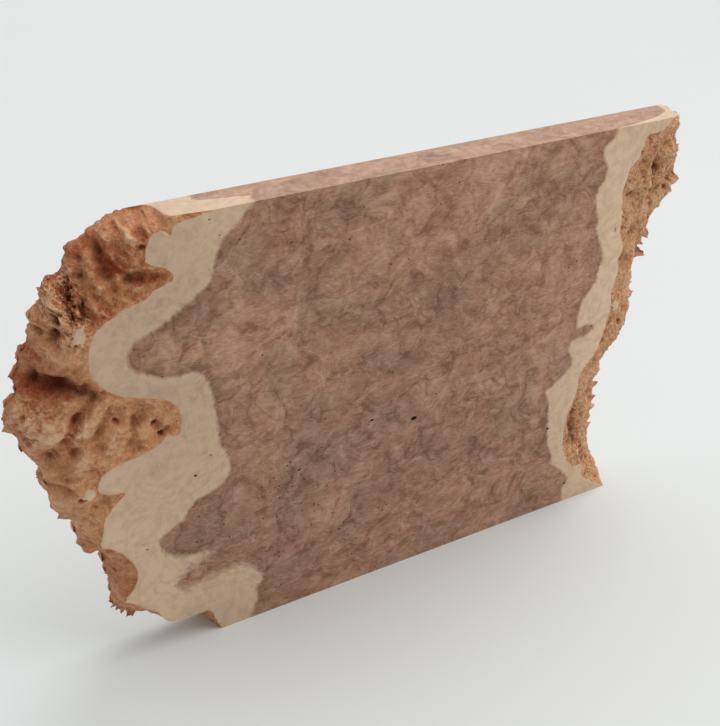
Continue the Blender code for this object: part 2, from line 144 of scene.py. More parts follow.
# Thorns that stand out past the back cut's edge: the tip's x, z and y, and the root's radius
THORNS = [
    (-58.4, 214.5, 16, 2.4), (-72, 186.5, 15, 2.6), (-84.4, 150, 15, 2.8),
    (-75, 120.6, 16, 3.6), (-69.4, 92.4, 17, 2.8), (-64, 75.4, 17, 2.0), (-60.2, 67.4, 17, 1.8),
    (-57.5, 65.4, 17, 2.0), (-53.4, 52.6, 14, 2.2), (-53, 25, 17, 2.0), (-50.7, 22.3, 17, 1.8),
    (-48.2, 18.4, 17, 1.8), (-45.7, 15.6, 17, 1.8), (-42.4, 13.6, 17, 2.2),
    (289.6, 216.4, 17, 1.8), (289.8, 212.4, 17, 1.8), (294.2, 195.2, 17, 4.6),
    (289.6, 188, 17, 2.8), (277.4, 165.5, 17, 2.8), (276.8, 162.6, 17, 2.0),
    (275, 158.6, 17, 1.8), (276, 154.4, 17, 3.0), (274.8, 151.8, 17, 2.4),
    (271.6, 135.8, 17, 1.8), (273.8, 129, 17, 2.8), (272.6, 121, 17, 3.0),
    (270.8, 111, 17, 2.4), (269.2, 104, 17, 2.2), (256.8, 78.6, 17, 3.4),
    (257.2, 70.2, 17, 3.0), (257.4, 59.5, 17, 3.2), (257.4, 52.8, 17, 2.8),
    (256.4, 39.6, 17, 2.2)]

# Hills and valleys of the outside, each along a line: its two ends, half width and height
HILLS = [
    (-70, 156, -63, 149, 10.0, 5.0), (-44, 159, -56, 133, 4.0, 2.6),
    (-33, 150, -43, 127, 4.0, 2.2), (-22, 150, -27, 137, 4.0, 1.6),
    (-29, 236, -27, 218, 3.0, 2.4), (-37, 232, -35, 214, 3.0, 2.4),
    (-20, 232, -19, 222, 2.6, 1.8), (-44, 222, -40, 206, 3.0, 1.6),
    (-55, 208, -52, 198, 4.0, 2.2), (-63, 190, -58, 184, 4.0, 2.2),
    (-72, 126, -68, 122, 3.6, 2.4), (-70, 112, -65, 108, 3.6, 2.2),
    (-60, 127, -52, 134, 3.2, 1.4), (-62, 97, -56, 92, 3.4, 1.6),
    (256, 222, 258, 205, 3.6, 1.6),
    (272, 205, 280, 196, 4.0, 2.0),
    (252, 190, 262, 176, 3.4, 1.6), (258, 160, 256, 148, 3.4, 1.6),
    (236, 76, 240, 60, 3.0, 1.4), (240, 40, 254, 14, 3.0, 1.4)]
VALLEYS = [
    (-74, 176, -60, 171, 4.6, 5.0), (-60, 171, -46, 165, 4.0, 4.6),
    (-46.5, 161, -54, 153.5, 2.4, 3.2), (-54, 153.5, -61, 143, 2.6, 3.4),
    (-61, 143, -69, 135, 2.6, 2.2), (-41.5, 152.5, -47, 143, 2.2, 2.2),
    (-47, 143, -57.5, 136, 2.2, 2.4), (-30, 147, -33, 134, 2.4, 1.8),
    (-24.5, 234, -26, 225, 2.2, 2.4), (-33.5, 232, -34, 219, 2.2, 2.6),
    (-29, 222, -23.5, 216, 2.6, 2.2), (-23.5, 216, -8, 214, 2.8, 2.4),
    (-41, 226, -43, 204, 1.8, 3.0),
    (-57, 198, -58, 194, 3.0, 4.4), (-49, 214, -49, 202, 1.8, 2.6),
    (-21, 143, -19, 141, 1.8, 2.2), (-17, 136, -15, 138, 2.0, 2.2),
    (-66, 119, -62, 116, 2.6, 2.0), (-16, 229, -17, 226, 1.8, 2.0),
    (264, 216, 262, 200, 2.4, 1.6), (270, 180, 258, 168, 2.4, 1.6),
    (250, 132, 256, 118, 2.4, 1.4), (228, 62, 234, 40, 2.6, 2.2)]

# The smooth facet low on the left end, where the outside broke away flat: middle x, z and half sizes
FACET = (-46.0, 52.0, 14.0, 21.0)

# How much of the slope to the back comes as a last round-over, at the left and the right end: the
# least and the most of it, and the heights between which it grows
ROUND_LEFT = (0.0, 0.72, 25, 65)
ROUND_RIGHT = (0.35, 0.65, 185, 215)

COARSE_LUMP, COARSE_HEIGHT = 13.0, 1.7
FINE_LUMP, FINE_HEIGHT = 5.5, 1.1

# Where the top of the right end is worn down to clean sapwood, round its edge
WORN_CORNER = np.array([(262, 241), (266, 238.8), (274, 236.2), (284, 232.6), (290, 231), (290, 241)])

# Small pits of the outside: x, z, radius and depth
PITS = [
    (-16, 235, 1.9, 2.2), (-11.5, 238, 1.0, 1.2), (-11.6, 236, 0.8, 1.0), (-12.6, 234, 0.9, 1.2),
    (-17, 229.3, 1.1, 1.8), (-15.4, 228.5, 0.9, 1.4), (-25, 237, 1.6, 1.6),
    (-44.9, 221.3, 1.0, 1.6), (-42.2, 218.9, 1.0, 1.6), (-47, 214.7, 1.2, 2.4),
    (-47.5, 211.7, 1.1, 2.2), (-46.4, 208, 1.0, 2.0), (-52.5, 205.3, 1.2, 2.4),
    (-54.6, 202.9, 1.3, 2.8), (-56.5, 196.5, 2.5, 2.0), (-61.6, 197.5, 1.6, 2.4),
    (-60, 205, 1.2, 1.2), (-41.5, 165.4, 1.2, 1.6), (-49, 191.8, 0.9, 1.6),
    (-73.8, 158, 1.4, 2.0), (-73.5, 144, 1.3, 2.0), (-70.5, 148.8, 1.2, 1.5),
    (-38, 148.2, 1.2, 1.6), (-21, 142.4, 1.4, 2.0), (-18.2, 135.8, 1.6, 2.2),
    (-58.4, 111.6, 1.3, 3.2), (-67.9, 107.3, 1.4, 1.4), (-62.4, 99.9, 0.7, 1.0),
    (-59.3, 95.8, 0.7, 1.0), (-61.4, 122.7, 1.6, 1.2), (-48.3, 57.7, 0.8, 1.2),
    (252, 209.4, 0.8, 1.4), (254.4, 202.5, 1.1, 1.6), (266, 197.3, 0.9, 1.4),
    (264.4, 193.4, 1.1, 1.6), (250.3, 197.3, 0.9, 1.4), (249, 200, 1.2, 1.4),
    (264.5, 190, 0.9, 1.4), (259.6, 177, 0.8, 1.6), (265.3, 210.3, 2.0, 1.5),
    (250.5, 232.3, 1.0, 0.8), (264.8, 226, 1.6, 1.8), (280, 200, 1.8, 2.0),
    (278, 195.6, 1.8, 1.8), (248.5, 100.8, 1.6, 2.4), (243, 110.4, 1.0, 1.8),
    (257.7, 116.4, 1.8, 2.0), (235.7, 59.6, 1.6, 2.0), (229.8, 64, 1.6, 1.6),
    (228.7, 88.7, 0.6, 1.2), (238.4, 70.8, 0.7, 1.2), (245.9, 22.9, 1.4, 1.8),
    (242, 14.5, 1.2, 1.2), (253.5, 6.1, 1.4, 1.2)]

PIT_SHAKES = [(0.9, 2.4), (0.54, 0.9)]  # how far a pit's rim strays, and the waves' lengths
PIT_SINK = 0.8         # share of a pit's depth by which its middle sinks
PIT_LIP = 0.16         # height of the lip round a pit, as a share of its depth
LIP_PLACE, LIP_WIDTH = 1.5, 0.45        # the lip's radius and width, as shares of the pit's radius
FACET_GRAIN = 0.2      # how much of the grain is left on the smooth facet
CHIP_SIZE, CHIP_DEPTH = 1.4, 1.7        # size of a thorn's chips, and how much they take off it
THORN_SWELL = 0.8      # how a thorn narrows to its tip: 1 for a cone, less for a rounder one
# The outside's tone, kept in its hollow attribute, lays painted shade in hollows and pits and painted
# highlight on hills in its colour
GRAIN_TONE = 2.2       # how much more the grain darkens and lightens the outside than hollows do
CREST_TONE = 0.35      # and how much less the hills do
THORN_TONE = 1.0       # how much darker a thorn is

# Cracked and crumbling ground on the left end: middle x, z and half sizes
CRUMBLE = (-50.0, 206.0, 7.5, 17.0)

# How broken the outside is
CRUMBLE_ROUGH = 1.5
RIGHT_ROUGH = 0.6
LEFT_ROUGH = 0.12
LOW_ROUGH = 0.5        # how much rougher the left end is near the base
LOW_FADE = (22, 36)    # heights between which that ends
BROKEN_TONE = 1.6      # how strongly broken ground takes its own colours

# The fine skin's waves: height and length
SKIN_WAVES = [(0.75, 2.6), (0.4, 1.2)]

# Slanted crests of the broken ground: width, length, height, and how sharp they are
CREST_WIDTH, CREST_LENGTH, CREST_HEIGHT, CREST_SHARP = 1.9, 3.6, 0.75, 2.8
CREST_BEND, BEND_LENGTH = 2.2, 6.0      # how far the crests bend, and over what length
BROKEN_SINK = 0.3      # how far the broken ground lies below the skin

# Cells of the broken ground hold a knob, a hole or nothing: cell size, heights and how steep
KNOB_CELL, KNOB_HEIGHT, HOLE_DEPTH, KNOB_STEEP = 2.1, 1.0, 1.5, 2.4
KNOB_LOT, HOLE_LOT = 0.1, -0.08         # a cell's noise above or below which it holds one

# Open pits in the front cut: x, z, half width, half height and depth
FRONT_PITS = [
    (115.8, 100.1, 1.8, 1.2, 2.0), (90.8, 107.3, 1.1, 0.7, 1.2), (236.5, 183, 0.7, 1.8, 0.25),
    (226, 14, 0.9, 0.9, 0.8), (207.5, 62, 0.9, 0.8, 0.8), (3.5, 116, 0.8, 0.7, 0.25),
    (-5, 106.5, 0.8, 0.7, 0.8), (-33, 71, 0.9, 0.5, 0.35), (13, 236, 0.8, 0.5, 0.25),
    (17, 228, 0.5, 0.6, 0.25), (48.6, 90.2, 0.7, 0.6, 0.7), (44.1, 96.8, 0.6, 0.5, 0.6)]

# Rings of points in an open pit: share of its half sizes, share of its depth and count
PIT_RINGS = [(1.25, 0, 14), (1.0, 0.1, 14), (0.7, 0.8, 9), (0.35, 1, 5)]

# Edge of the heartwood on the front cut, down the left side and down the right side
HEART_LEFT = [
    (34, 240), (28, 235), (24.5, 231), (20, 228), (16, 222), (13, 214), (10.5, 207), (5, 203),
    (0, 199.5), (-8, 195), (-14, 191), (-20, 189), (-26, 186), (-29, 180), (-28, 174),
    (-22, 170), (-16, 166), (-8, 164.5), (0, 164.5), (4, 161), (7, 152), (8, 142), (8.5, 130),
    (9, 122), (12, 112), (12.5, 104), (9, 98), (3, 94.5), (-5, 92), (-10, 88), (-13, 83),
    (-19, 79.5), (-26, 75), (-25, 66), (-18, 60.5), (-8, 57.5), (0, 55.5), (-8, 52.5), (-16, 48),
    (-20, 42), (-17, 37), (0, 40), (13, 41), (18, 38), (24, 31), (25.5, 25), (21, 20),
    (22, 15), (19, 7), (16, 0)]
HEART_RIGHT = [
    (228.3, 240), (228.3, 236), (221.7, 231.7), (222.5, 225), (225, 220), (224.7, 214),
    (220.8, 208), (220.8, 200), (224, 193), (223.3, 187.5), (225, 181.7), (228.3, 175),
    (230.8, 168), (229, 161.7), (228.3, 155), (225, 150), (220, 141.7), (219, 133),
    (220, 127.5), (228.3, 127.5), (231.7, 125.8), (230, 122.5), (225, 120), (218, 120),
    (215.8, 113), (219, 106.7), (216.7, 100), (208, 93), (203, 90), (205, 83), (206.7, 73),
    (207.5, 61.7), (209, 50), (213, 41.7), (213, 35), (220, 28), (225, 21.7), (228.3, 16.7),
    (225, 11.7), (225.3, 0)]

# Rings of the figure around buds that never grew out, on the front cut: x, z, radius and clearness
EYES = [
    (100.6, 161.2, 4.4, 1.0), (78.2, 188.5, 3.6, 0.7), (115.5, 170.5, 4.0, 0.5),
    (82.1, 144.9, 3.6, 0.5), (154.3, 105.1, 6.0, 0.6), (39.4, 129, 4.6, 0.5),
    (175.1, 83, 4.4, 0.5), (61, 171, 3.8, 0.3), (140, 199, 4.0, 0.3), (187, 142, 4.0, 0.3),
    (120, 58, 4.4, 0.3), (70, 60, 4.2, 0.2), (190, 205, 4.0, 0.3), (34, 196, 3.6, 0.3)]

# Rings of points round an eye: share of its radius and count
EYE_RINGS = [(0.35, 6), (0.7, 12), (1.05, 16), (1.4, 20)]
FAR = 9.0              # radii from an eye at which nothing of it is left

# Where pores are thick on the front cut: middle x, z and half sizes
PORE_PATCHES = [(48, 78, 26, 24), (20, 60, 22, 20), (86, 40, 26, 16)]

# Where the heartwood's edge is blurred low on the left: middle x, z and half sizes
BLURRED = (-2, 44, 26, 20)
BLUR = 2.5             # how much wider the edge is there

# On the back cut the sapwood is wider high on the left end and narrower high on the right one
SAPWOOD_RISE = (190, 240)
WIDER_LEFT, NARROWER_RIGHT = 15, 11

# How the front cut's pattern gives way to the back cut's: shares of the depth between which it
# does at the left end, and a power for the right end, where it starts at once
LEFT_TURN = (0.38, 0.73)
RIGHT_TURN = 4
HEART_STEP = 0.5       # distance between points of the heartwood's edge

# How much paler or darker the wood is from place to place, partly its own tone and partly painted light
# that falls off towards the left end: middle x, z, half sizes and share
TONE_AND_LIGHT_PATCHES = [
    (-15, 175, 40, 80, -0.21), (-5, 10, 25, 15, -0.12), (238, 130, 16, 120, 0.08),
    (110, 110, 55, 60, -0.12), (25, 60, 40, 40, -0.10), (5, 178, 24, 12, 0.42),
    (195, 190, 50, 60, 0.05)]

# Stains of the outside, with painted shade laid the same way in some deep valleys: middle x, z, half
# sizes and how red and dark, below nought for paler
STAINS_AND_SHADE = [
    (-64, 171, 13, 5, 1.0), (-68, 160, 8, 9, 0.6), (-78, 152, 5, 12, 0.6), (-47, 214, 7, 13, 0.6),
    (-38, 232, 10, 5, 0.8), (-28, 222, 8, 6, 0.9), (-66, 188, 7, 5, 0.6), (-57, 214, 5, 5, 0.6),
    (-58, 146, 6, 8, 0.5), (-20, 211, 8, 4, 0.3), (-46, 52, 10, 14, 0.3), (-50, 18, 6, 6, 0.5),
    (-34, 212, 7, 6, 0.2), (-18, 230, 8, 8, 0.5), (-54, 77, 6, 8, 0.3), (-33, 142, 14, 8, -0.1),
    (-13, 141, 6, 6, -0.1), (-12, 213, 8, 4, 0.3), (-35, 203, 9, 5, 0.5),
    (-62, 112, 9, 8, -0.4), (-60, 94, 8, 8, -0.3), (-51, 188, 7, 9, -0.4), (-48, 176, 6, 6, -0.3),
    (-32, 226, 3, 7, -0.3), (258, 120, 26, 80, -0.6), (262, 205, 6, 8, 0.3), (230, 52, 6, 14, 0.2)]


def linear(colour):
    """An sRGB colour such as #aabbcc as linear red, green and blue."""
    shares = [int(colour[i:i + 2], 16) / 255 for i in (1, 3, 5)]
    return [s / 12.92 if s <= 0.04045 else ((s + 0.055) / 1.055) ** 2.4 for s in shares]


def colour_property(name, description, colour):
    return bpy.props.FloatVectorProperty(name=name, description=description, subtype="COLOR",
                                         min=0, max=1, default=linear(colour))


def length_property(name, description, size, least):
    return bpy.props.FloatProperty(name=name, description=description, default=size * MM,
                                   min=least * MM, unit="LENGTH")


class BurlSizes(bpy.types.PropertyGroup):
    outside_step: length_property(
        "Outside detail", "Distance between points of the burl's outside", 0.62, 0.4)
    rim_step: length_property(
        "Rim detail", "Distance between points where the outside falls to the back", 0.42, 0.3)
    face_step: length_property(
        "Front detail", "Distance between points inside the front cut", 2.0, 1)
    back_step: length_property(
        "Back detail", "Distance between points inside the back cut", 3.0, 1)
    sapwood: length_property("Sapwood width", "Width of the sapwood on the back cut", 14, 0)


class BurlColours(bpy.types.PropertyGroup):
    heartwood: colour_property("Heartwood", "Middle tone of the heartwood", "#ae8166")
    heartwood_dark: colour_property("Heartwood shade", "Dark figure of the heartwood", "#885c45")
    heartwood_light: colour_property("Heartwood light", "Light figure of the heartwood", "#cba188")
    heartwood_dull: colour_property("Heartwood grey", "Tint of the greyer patches", "#e2ecea")
    sapwood: colour_property("Sapwood", "Middle tone of the sapwood", "#ddbd9d")
    sapwood_dark: colour_property("Sapwood shade", "Growth lines of the sapwood", "#c9a88b")
    pore: colour_property("Pore", "Open pores and pits", "#3a2016")
    torn: colour_property("Torn fibre", "Fuzz on the unsanded top and bottom cuts", "#f0dccb")
    skin: colour_property("Skin", "Middle tone of the burl's outside", "#de9d6c")
    # Also laid as painted shade in some deep valleys
    skin_stain_and_shade: colour_property("Stain", "The outside where bark has stained it", "#ab4f1e")
    # Painted shade in hollows and pits, with the dirt they hold, and the colour of the small dark holes
    skin_hollow_dirt_and_shade: colour_property("Hollow", "The outside in its hollows and pits", "#763414")
    # Painted highlight on the hills, and the pale worm-like ridges of broken ground
    skin_pale_and_highlight: colour_property("Crest", "The outside on its rubbed ridges", "#f2c89e")
    floor: colour_property("Floor", "The pale studio floor", "#dddfdd")
    room: colour_property("Room", "Light of the even white room", "#eef2f4")


class BurlLight(bpy.types.PropertyGroup):
    sky: bpy.props.FloatProperty(name="Room light", description="Strength of the even white room",
                                 default=0.40, min=0)
    key: bpy.props.FloatProperty(name="Skylight", description="Strength of the wide light overhead",
                                 default=2.2, min=0)
    window: bpy.props.FloatProperty(name="Window", description="Strength of the light behind the left",
                                    default=0.6, min=0)
    fill: bpy.props.FloatProperty(name="Softbox", description="Power of the soft lamp at the right",
                                  default=3.2, min=0, unit="POWER")


def curve(points, spacing):
    """Even points along a smooth curve through the given ones, with both ends kept."""
    knots = np.array([points[0], *points, points[-1]], float)
    t = np.linspace(0, 1, CURVE_PARTS, endpoint=False)[:, None]
    spans = []
    for a, b, c, d in zip(knots, knots[1:], knots[2:], knots[3:]):
        bend = (2 * a - 5 * b + 4 * c - d) * t ** 2 + (3 * b - a - 3 * c + d) * t ** 3
        spans.append(b + 0.5 * ((c - a) * t + bend))
    line = np.vstack([*spans, knots[-1:]])
    run = np.concatenate([[0], np.cumsum(np.hypot(*np.diff(line, axis=0).T))])
    at = np.linspace(0, run[-1], max(2, round(run[-1] / spacing) + 1))
    return np.column_stack([np.interp(at, run, line[:, 0]), np.interp(at, run, line[:, 1])])


def ragged(line, shakes):
    """A line shaken by smooth noise, so that the cut's edge is not a clean curve.

    Its ends stay, and no other point comes as high or as low as the top and bottom cuts.
    """
    for reach, size in shakes:
        shift = np.array([(noise.noise(Vector((x, z, SEED)) / size),
                           noise.noise(Vector((x, z, 2 * SEED)) / size)) for x, z in line])
        count = np.arange(len(line))
        hold = np.minimum(np.minimum(count, count[::-1]) / END_HOLD, 1)
        line = line + shift * hold[:, None] * reach
        line[1:-1, 1] = line[1:-1, 1].clip(LEVEL_GAP, HEIGHT - LEVEL_GAP)
        line = untangled(line)
    return line


def untangled(line):
    """The line without the small loops in which it crosses itself."""
    kept = [Vector(point) for point in line]
    for i in range(len(kept)):
        for j in range(min(i + LOOP_REACH, len(kept) - 2), i + 1, -1):
            if intersect_line_line_2d(kept[i], kept[i + 1], kept[j], kept[j + 1]):
                del kept[i + 1:j + 1]
                break
    return np.array([tuple(point) for point in kept])


def oval(middle, halves, count):
    turn = np.linspace(0, 2 * np.pi, count, endpoint=False)
    return np.column_stack([middle[0] + halves[0] * np.cos(turn),
                            middle[1] + halves[1] * np.sin(turn)])


def ring(island, spacing):
    x, z, half_x, half_z = island
    return oval((x, z), (half_x, half_z), max(8, round(2 * np.pi * half_z / spacing)))


def straight(start, end, spacing):
    """Points between two ends, without the ends themselves."""
    count = max(1, round(np.hypot(*np.subtract(end, start)) / spacing))
    share = np.linspace(0, 1, count + 1)[1:-1, None]
    return np.asarray(start) + share * np.subtract(end, start)


class Outlines:
    """The edges of both cuts at one spacing of points."""

    def __init__(self, spacing, flat_spacing):
        self.front_left = ragged(curve(FRONT_LEFT, spacing), FRONT_SHAKES)
        self.front_right = ragged(curve(FRONT_RIGHT, spacing), FRONT_SHAKES)
        self.back_left = ragged(curve(BACK_LEFT, spacing), BACK_LEFT_SHAKES)
        self.back_right = ragged(curve(BACK_RIGHT, spacing), BACK_RIGHT_SHAKES)
        self.islands = [ragged(ring(island, spacing), ISLAND_SHAKES) for island in ISLANDS]
        top_left, top_right = self.front_left[0], self.front_right[0]
        low_left, low_right = self.front_left[-1], self.front_right[-1]
        self.bottom = np.vstack([
            straight(self.back_left[-1], low_left, spacing), low_left,
            straight(low_left, low_right, flat_spacing), low_right,
            straight(low_right, self.back_right[-1], spacing)])
        self.top = np.vstack([
            straight(self.back_right[0], top_right, spacing / CORNER_FINER), top_right,
            straight(top_right, top_left, flat_spacing), top_left,
            straight(top_left, self.back_left[0], spacing)])
        self.outer = np.vstack([self.back_left, self.bottom, self.back_right[::-1], self.top])
        self.front = np.vstack([self.front_left, self.front_right[::-1]])

    def on_front(self, points):
        """Which points lie on the front cut or on an island of it."""
        within = inside(points, self.front)
        for island in self.islands:
            within |= inside(points, island)
        return within


def inside(points, loop):
    x, z = points.T
    within = np.zeros(len(points), bool)
    for (x0, z0), (x1, z1) in zip(loop, np.roll(loop, -1, axis=0)):
        if z0 == z1:
            continue
        crossing = x0 + (x1 - x0) * (z - z0) / (z1 - z0)
        within ^= ((z0 > z) != (z1 > z)) & (x < crossing)
    return within


def off_cuts(points):
    """The points with those on the top and bottom cuts moved just inside the slab."""
    return np.column_stack([points[:, 0], points[:, 1].clip(SAME, HEIGHT - SAME)])


def nearest(points, marks):
    """The nearest mark's number and its distance, for each point."""
    tree = kdtree.KDTree(len(marks))
    for i, (x, z) in enumerate(marks):
        tree.insert((x, z, 0), i)
    tree.balance()
    return [tree.find((x, z, 0))[1:] for x, z in points]


def gaps(points, marks):
    return np.array([gap for _, gap in nearest(points, marks)])


def soft_distance(points, samples, step):
    """Distance to a line given by even samples, rounded where two stretches are as near.

    The inverse sixth powers of the distances to the samples are added up. For a straight line
    that sum is 3 pi / 8 over the fifth power of the distance. The gradient comes with it. The
    points are taken some thousands at a time, to spare the memory.
    """
    reach = np.empty(len(points))
    slope = np.empty((len(points), 2))
    batch = 4000
    for start in range(0, len(points), batch):
        part = slice(start, start + batch)
        away = points[part, None, :] - samples[None, :, :]
        square = np.maximum((away ** 2).sum(axis=2), SAME ** 2)
        total = (step * square ** -3).sum(axis=1)
        reach[part] = (total * 8 / (3 * np.pi)) ** -0.2
        pull = (step * square ** -4)[:, :, None] * away
        slope[part] = (reach[part] * 1.2 / total)[:, None] * pull.sum(axis=1)
    return reach, slope


class Outside:
    """The burl's own outside, as a depth behind the front cut over each point (x, z)."""

    LINE_STEP = 0.8

    def __init__(self):
        step = self.LINE_STEP
        fronts = [curve(FRONT_LEFT, step), curve(FRONT_RIGHT, step)]
        fronts += [ring(island, step) for island in ISLANDS]
        self.front = np.vstack(fronts)
        self.back = np.vstack([curve(BACK_LEFT, step), curve(BACK_RIGHT, step)])

    def base(self, points):
        """Depth without relief, the outward normal and the distances to both cuts' edges."""
        front, front_slope = soft_distance(points, self.front, self.LINE_STEP)
        back, back_slope = soft_distance(points, self.back, self.LINE_STEP)
        share = front / (front + back)
        # At the back cut's edge itself the round-over would be endlessly steep
        fall = np.sqrt(1 - np.minimum(share, 0.999) ** 2)
        turn = round_over(points)
        depth = THICKNESS * ((1 - turn) * share + turn * (1 - fall))
        near_top = ease((points[:, 1] - HEIGHT) / TOP_FALL + 1) * (points[:, 0] < TOP_EDGE[-1][0])
        depth += near_top * (np.interp(points[:, 0], *np.transpose(TOP_EDGE)) - depth)
        rate = THICKNESS * (1 - turn + turn * share / fall)
        across = back[:, None] * front_slope - front[:, None] * back_slope
        slope = rate[:, None] * across / ((front + back) ** 2)[:, None]
        normal = np.column_stack([slope[:, 0], -np.ones(len(points)), slope[:, 1]])
        normal /= np.linalg.norm(normal, axis=1)[:, None]
        return depth, normal, front, back

    def relief(self, points):
        """Height of hills, valleys and lumps over the base surface."""
        height = np.zeros(len(points))
        for hills, sign in ((HILLS, 1), (VALLEYS, -1)):
            for x0, z0, x1, z1, width, rise in hills:
                height += sign * rise * np.exp(-(segment_distance(points, x0, z0, x1, z1) / width) ** 2)
        height += np.array([lumps(x, z) for x, z in points])
        return height * calm(points)

    def grain(self, points):
        """Height of the pits, wrinkles and pimples that are finer than the hills."""
        height = np.zeros(len(points))
        shaken = points.copy()
        for (reach, size), seed in zip(PIT_SHAKES, (SEED, 2 * SEED)):
            shaken += reach * np.array([
                noise.noise_vector(Vector((x, z, seed)) / size)[:2] for x, z in points])
        for x, z, radius, depth in PITS:
            away = np.hypot(shaken[:, 0] - x, shaken[:, 1] - z) / radius
            height -= PIT_SINK * depth * np.exp(-away ** 3)
            height += PIT_LIP * depth * np.exp(-((away - LIP_PLACE) / LIP_WIDTH) ** 2)
        skin, ground = np.transpose([wrinkles(x, z) for x, z in points])
        fade = FACET_GRAIN + (1 - FACET_GRAIN) * calm(points)
        return height + (skin + ground * roughness(points)) * fade

    def spots(self, points):
        return np.insert(points, 1, self.base(points)[0], axis=1)

    def place(self, points, thorns=True):
        """Points of the outside over (x, z), with relief and thorns, clear of all four cuts.

        How high each stands comes with them, with the grain counted for more.
        """
        depth, normal, front, back = self.base(points)
        level = np.minimum(points[:, 1], HEIGHT - points[:, 1])
        normal[:, 2] *= ease(level / LEVEL_FADE)
        spot = np.insert(points, 1, depth, axis=1)
        height = self.relief(points) * ease(front / FRONT_FADE) * ease(back / BACK_FADE)
        grain = self.grain(points) * ease(front / FINE_FRONT_FADE) * ease(back / FINE_BACK_FADE)
        placed = spot + normal * (height + grain)[:, None]
        # The tone paints hollows and pits darker as shade, and hills paler as highlight
        tone = np.where(height > 0, CREST_TONE, 1) * height + GRAIN_TONE * grain
        if thorns:
            chips = np.array([abs(noise.noise(Vector((x, y, z)) / CHIP_SIZE))
                              for x, y, z in spot])
            roots = self.roots()
            stubs = self.place(roots, thorns=False)[0]
            for root, stub, (x, z, y, radius) in zip(self.spots(roots), stubs, THORNS):
                near = np.maximum(1 - np.linalg.norm(spot - root, axis=1) / radius, 0)
                rise = near ** THORN_SWELL * (1 - CHIP_DEPTH * chips * (1 - near))
                placed += rise[:, None] * ((x, y, z) - stub)
                tone -= THORN_TONE * near
        placed[:, 1] = np.clip(placed[:, 1], SKIN * ease(front), THICKNESS - SKIN)
        placed[:, 2] = np.clip(placed[:, 2], SKIN, HEIGHT - SKIN)
        return placed, tone

    def roots(self):
        """Where each thorn stands, a little inside the back cut's edge, as (x, z)."""
        spots = []
        for x, z, _, radius in THORNS:
            level = (x, z + THORN_DROOP)
            foot = self.back[np.argmin(((self.back - level) ** 2).sum(axis=1))]
            inward = (foot - level) / np.linalg.norm(foot - level)
            spots.append(foot + inward * (radius + THORN_GAP))
        return np.array(spots)


def ease(share):
    share = np.clip(share, 0, 1)
    return share * share * (3 - 2 * share)


def rising(values, low, high):
    """Nought below low and one above high, with a smooth change between them."""
    return ease((values - low) / (high - low))


def round_over(points):
    """Share of the slope to the back that comes as a last round-over."""
    left, right = (least + (most - least) * rising(points[:, 1], low, high)
                   for least, most, low, high in (ROUND_LEFT, ROUND_RIGHT))
    return np.where(points[:, 0] < CENTRE_X, left, right)


def oval_share(points, patch):
    """Distance from an oval patch's middle, as a share of its half sizes."""
    x, z, half_x, half_z = patch
    return np.hypot((points[:, 0] - x) / half_x, (points[:, 1] - z) / half_z)


def calm(points):
    """Nought on the smooth facet and one away from it."""
    return ease(oval_share(points, FACET))


def roughness(points):
    """How broken the outside is: most on the crumbling ground, then near the base and at right."""
    crumble = 1 - ease(oval_share(points, CRUMBLE) - 0.5)
    left = LOW_ROUGH * (1 - rising(points[:, 1], *LOW_FADE)) + LEFT_ROUGH
    return np.where(points[:, 0] > CENTRE_X, RIGHT_ROUGH, np.maximum(CRUMBLE_ROUGH * crumble, left))


def segment_distance(points, x0, z0, x1, z1):
    start = np.array([x0, z0], float)
    run = np.array([x1 - x0, z1 - z0], float)
    share = np.clip((points - start) @ run / (run @ run), 0, 1)
    return np.linalg.norm(points - start - share[:, None] * run, axis=1)


def lumps(x, z):
    """Height of the rounded swellings between the hills."""
    coarse = noise.noise(Vector((x, SEED, z)) / COARSE_LUMP)
    fine = noise.noise(Vector((x, 3 * SEED, z)) / FINE_LUMP)
    return 2 * (COARSE_HEIGHT * coarse + FINE_HEIGHT * fine)


def wrinkles(x, z):
    """Height of the fine skin everywhere, and of the sharp broken ground in rough places."""
    spot = Vector((x, z, 0))
    skin = sum(height * noise.noise(spot / length) for height, length in SKIN_WAVES)
    bend = CREST_BEND * noise.noise(spot / BEND_LENGTH)
    slanted = Vector(((x + 0.4 * z + bend) / CREST_WIDTH, (z - 0.3 * x + bend) / CREST_LENGTH, 5))
    crest = 1 - abs(noise.noise(slanted)) * CREST_SHARP
    gap, seeds = noise.voronoi(spot / KNOB_CELL)
    lot = noise.noise(seeds[0] * 7)
    height = KNOB_HEIGHT if lot > KNOB_LOT else -HOLE_DEPTH if lot < HOLE_LOT else 0
    knob = height * max(0, 1 - gap[0] * KNOB_STEEP)
    return skin, CREST_HEIGHT * crest + knob - BROKEN_SINK


def scatter(spacing, outlines, lines, rim=False):
    """Slightly shaken grid points over the outside, clear of every edge and thorn point.

    They fill the belt along the back cut's edges when rim is true, and all the rest when it isn't.
    """
    draw = np.random.default_rng(SEED)
    low, high = outlines.outer.min(axis=0), outlines.outer.max(axis=0)
    points = grid(low, high, spacing)
    points += draw.uniform(-SHAKE, SHAKE, points.shape) * spacing
    points = points[inside(points, outlines.outer) & ~outlines.on_front(points)]
    belt = gaps(points, np.vstack([outlines.back_left, outlines.back_right]))
    points = points[belt < RIM] if rim else points[belt >= RIM]
    return points[gaps(points, np.vstack(lines)) > CLEARANCE * spacing]


def grid(low, high, spacing):
    """Corners of even triangles over a rectangle."""
    rows = np.arange(low[1], high[1], spacing * ROW)
    columns = np.arange(low[0], high[0], spacing)
    x, z = np.meshgrid(columns, rows)
    x[1::2] += spacing / 2
    return np.column_stack([x.ravel(), z.ravel()])


def filling(loop, spacing, marks, clearance):
    """Grid points inside the loop, clear of the marks."""
    points = grid(loop.min(axis=0), loop.max(axis=0), spacing)
    points = points[inside(points, loop)]
    return points[gaps(points, marks) > clearance * spacing]


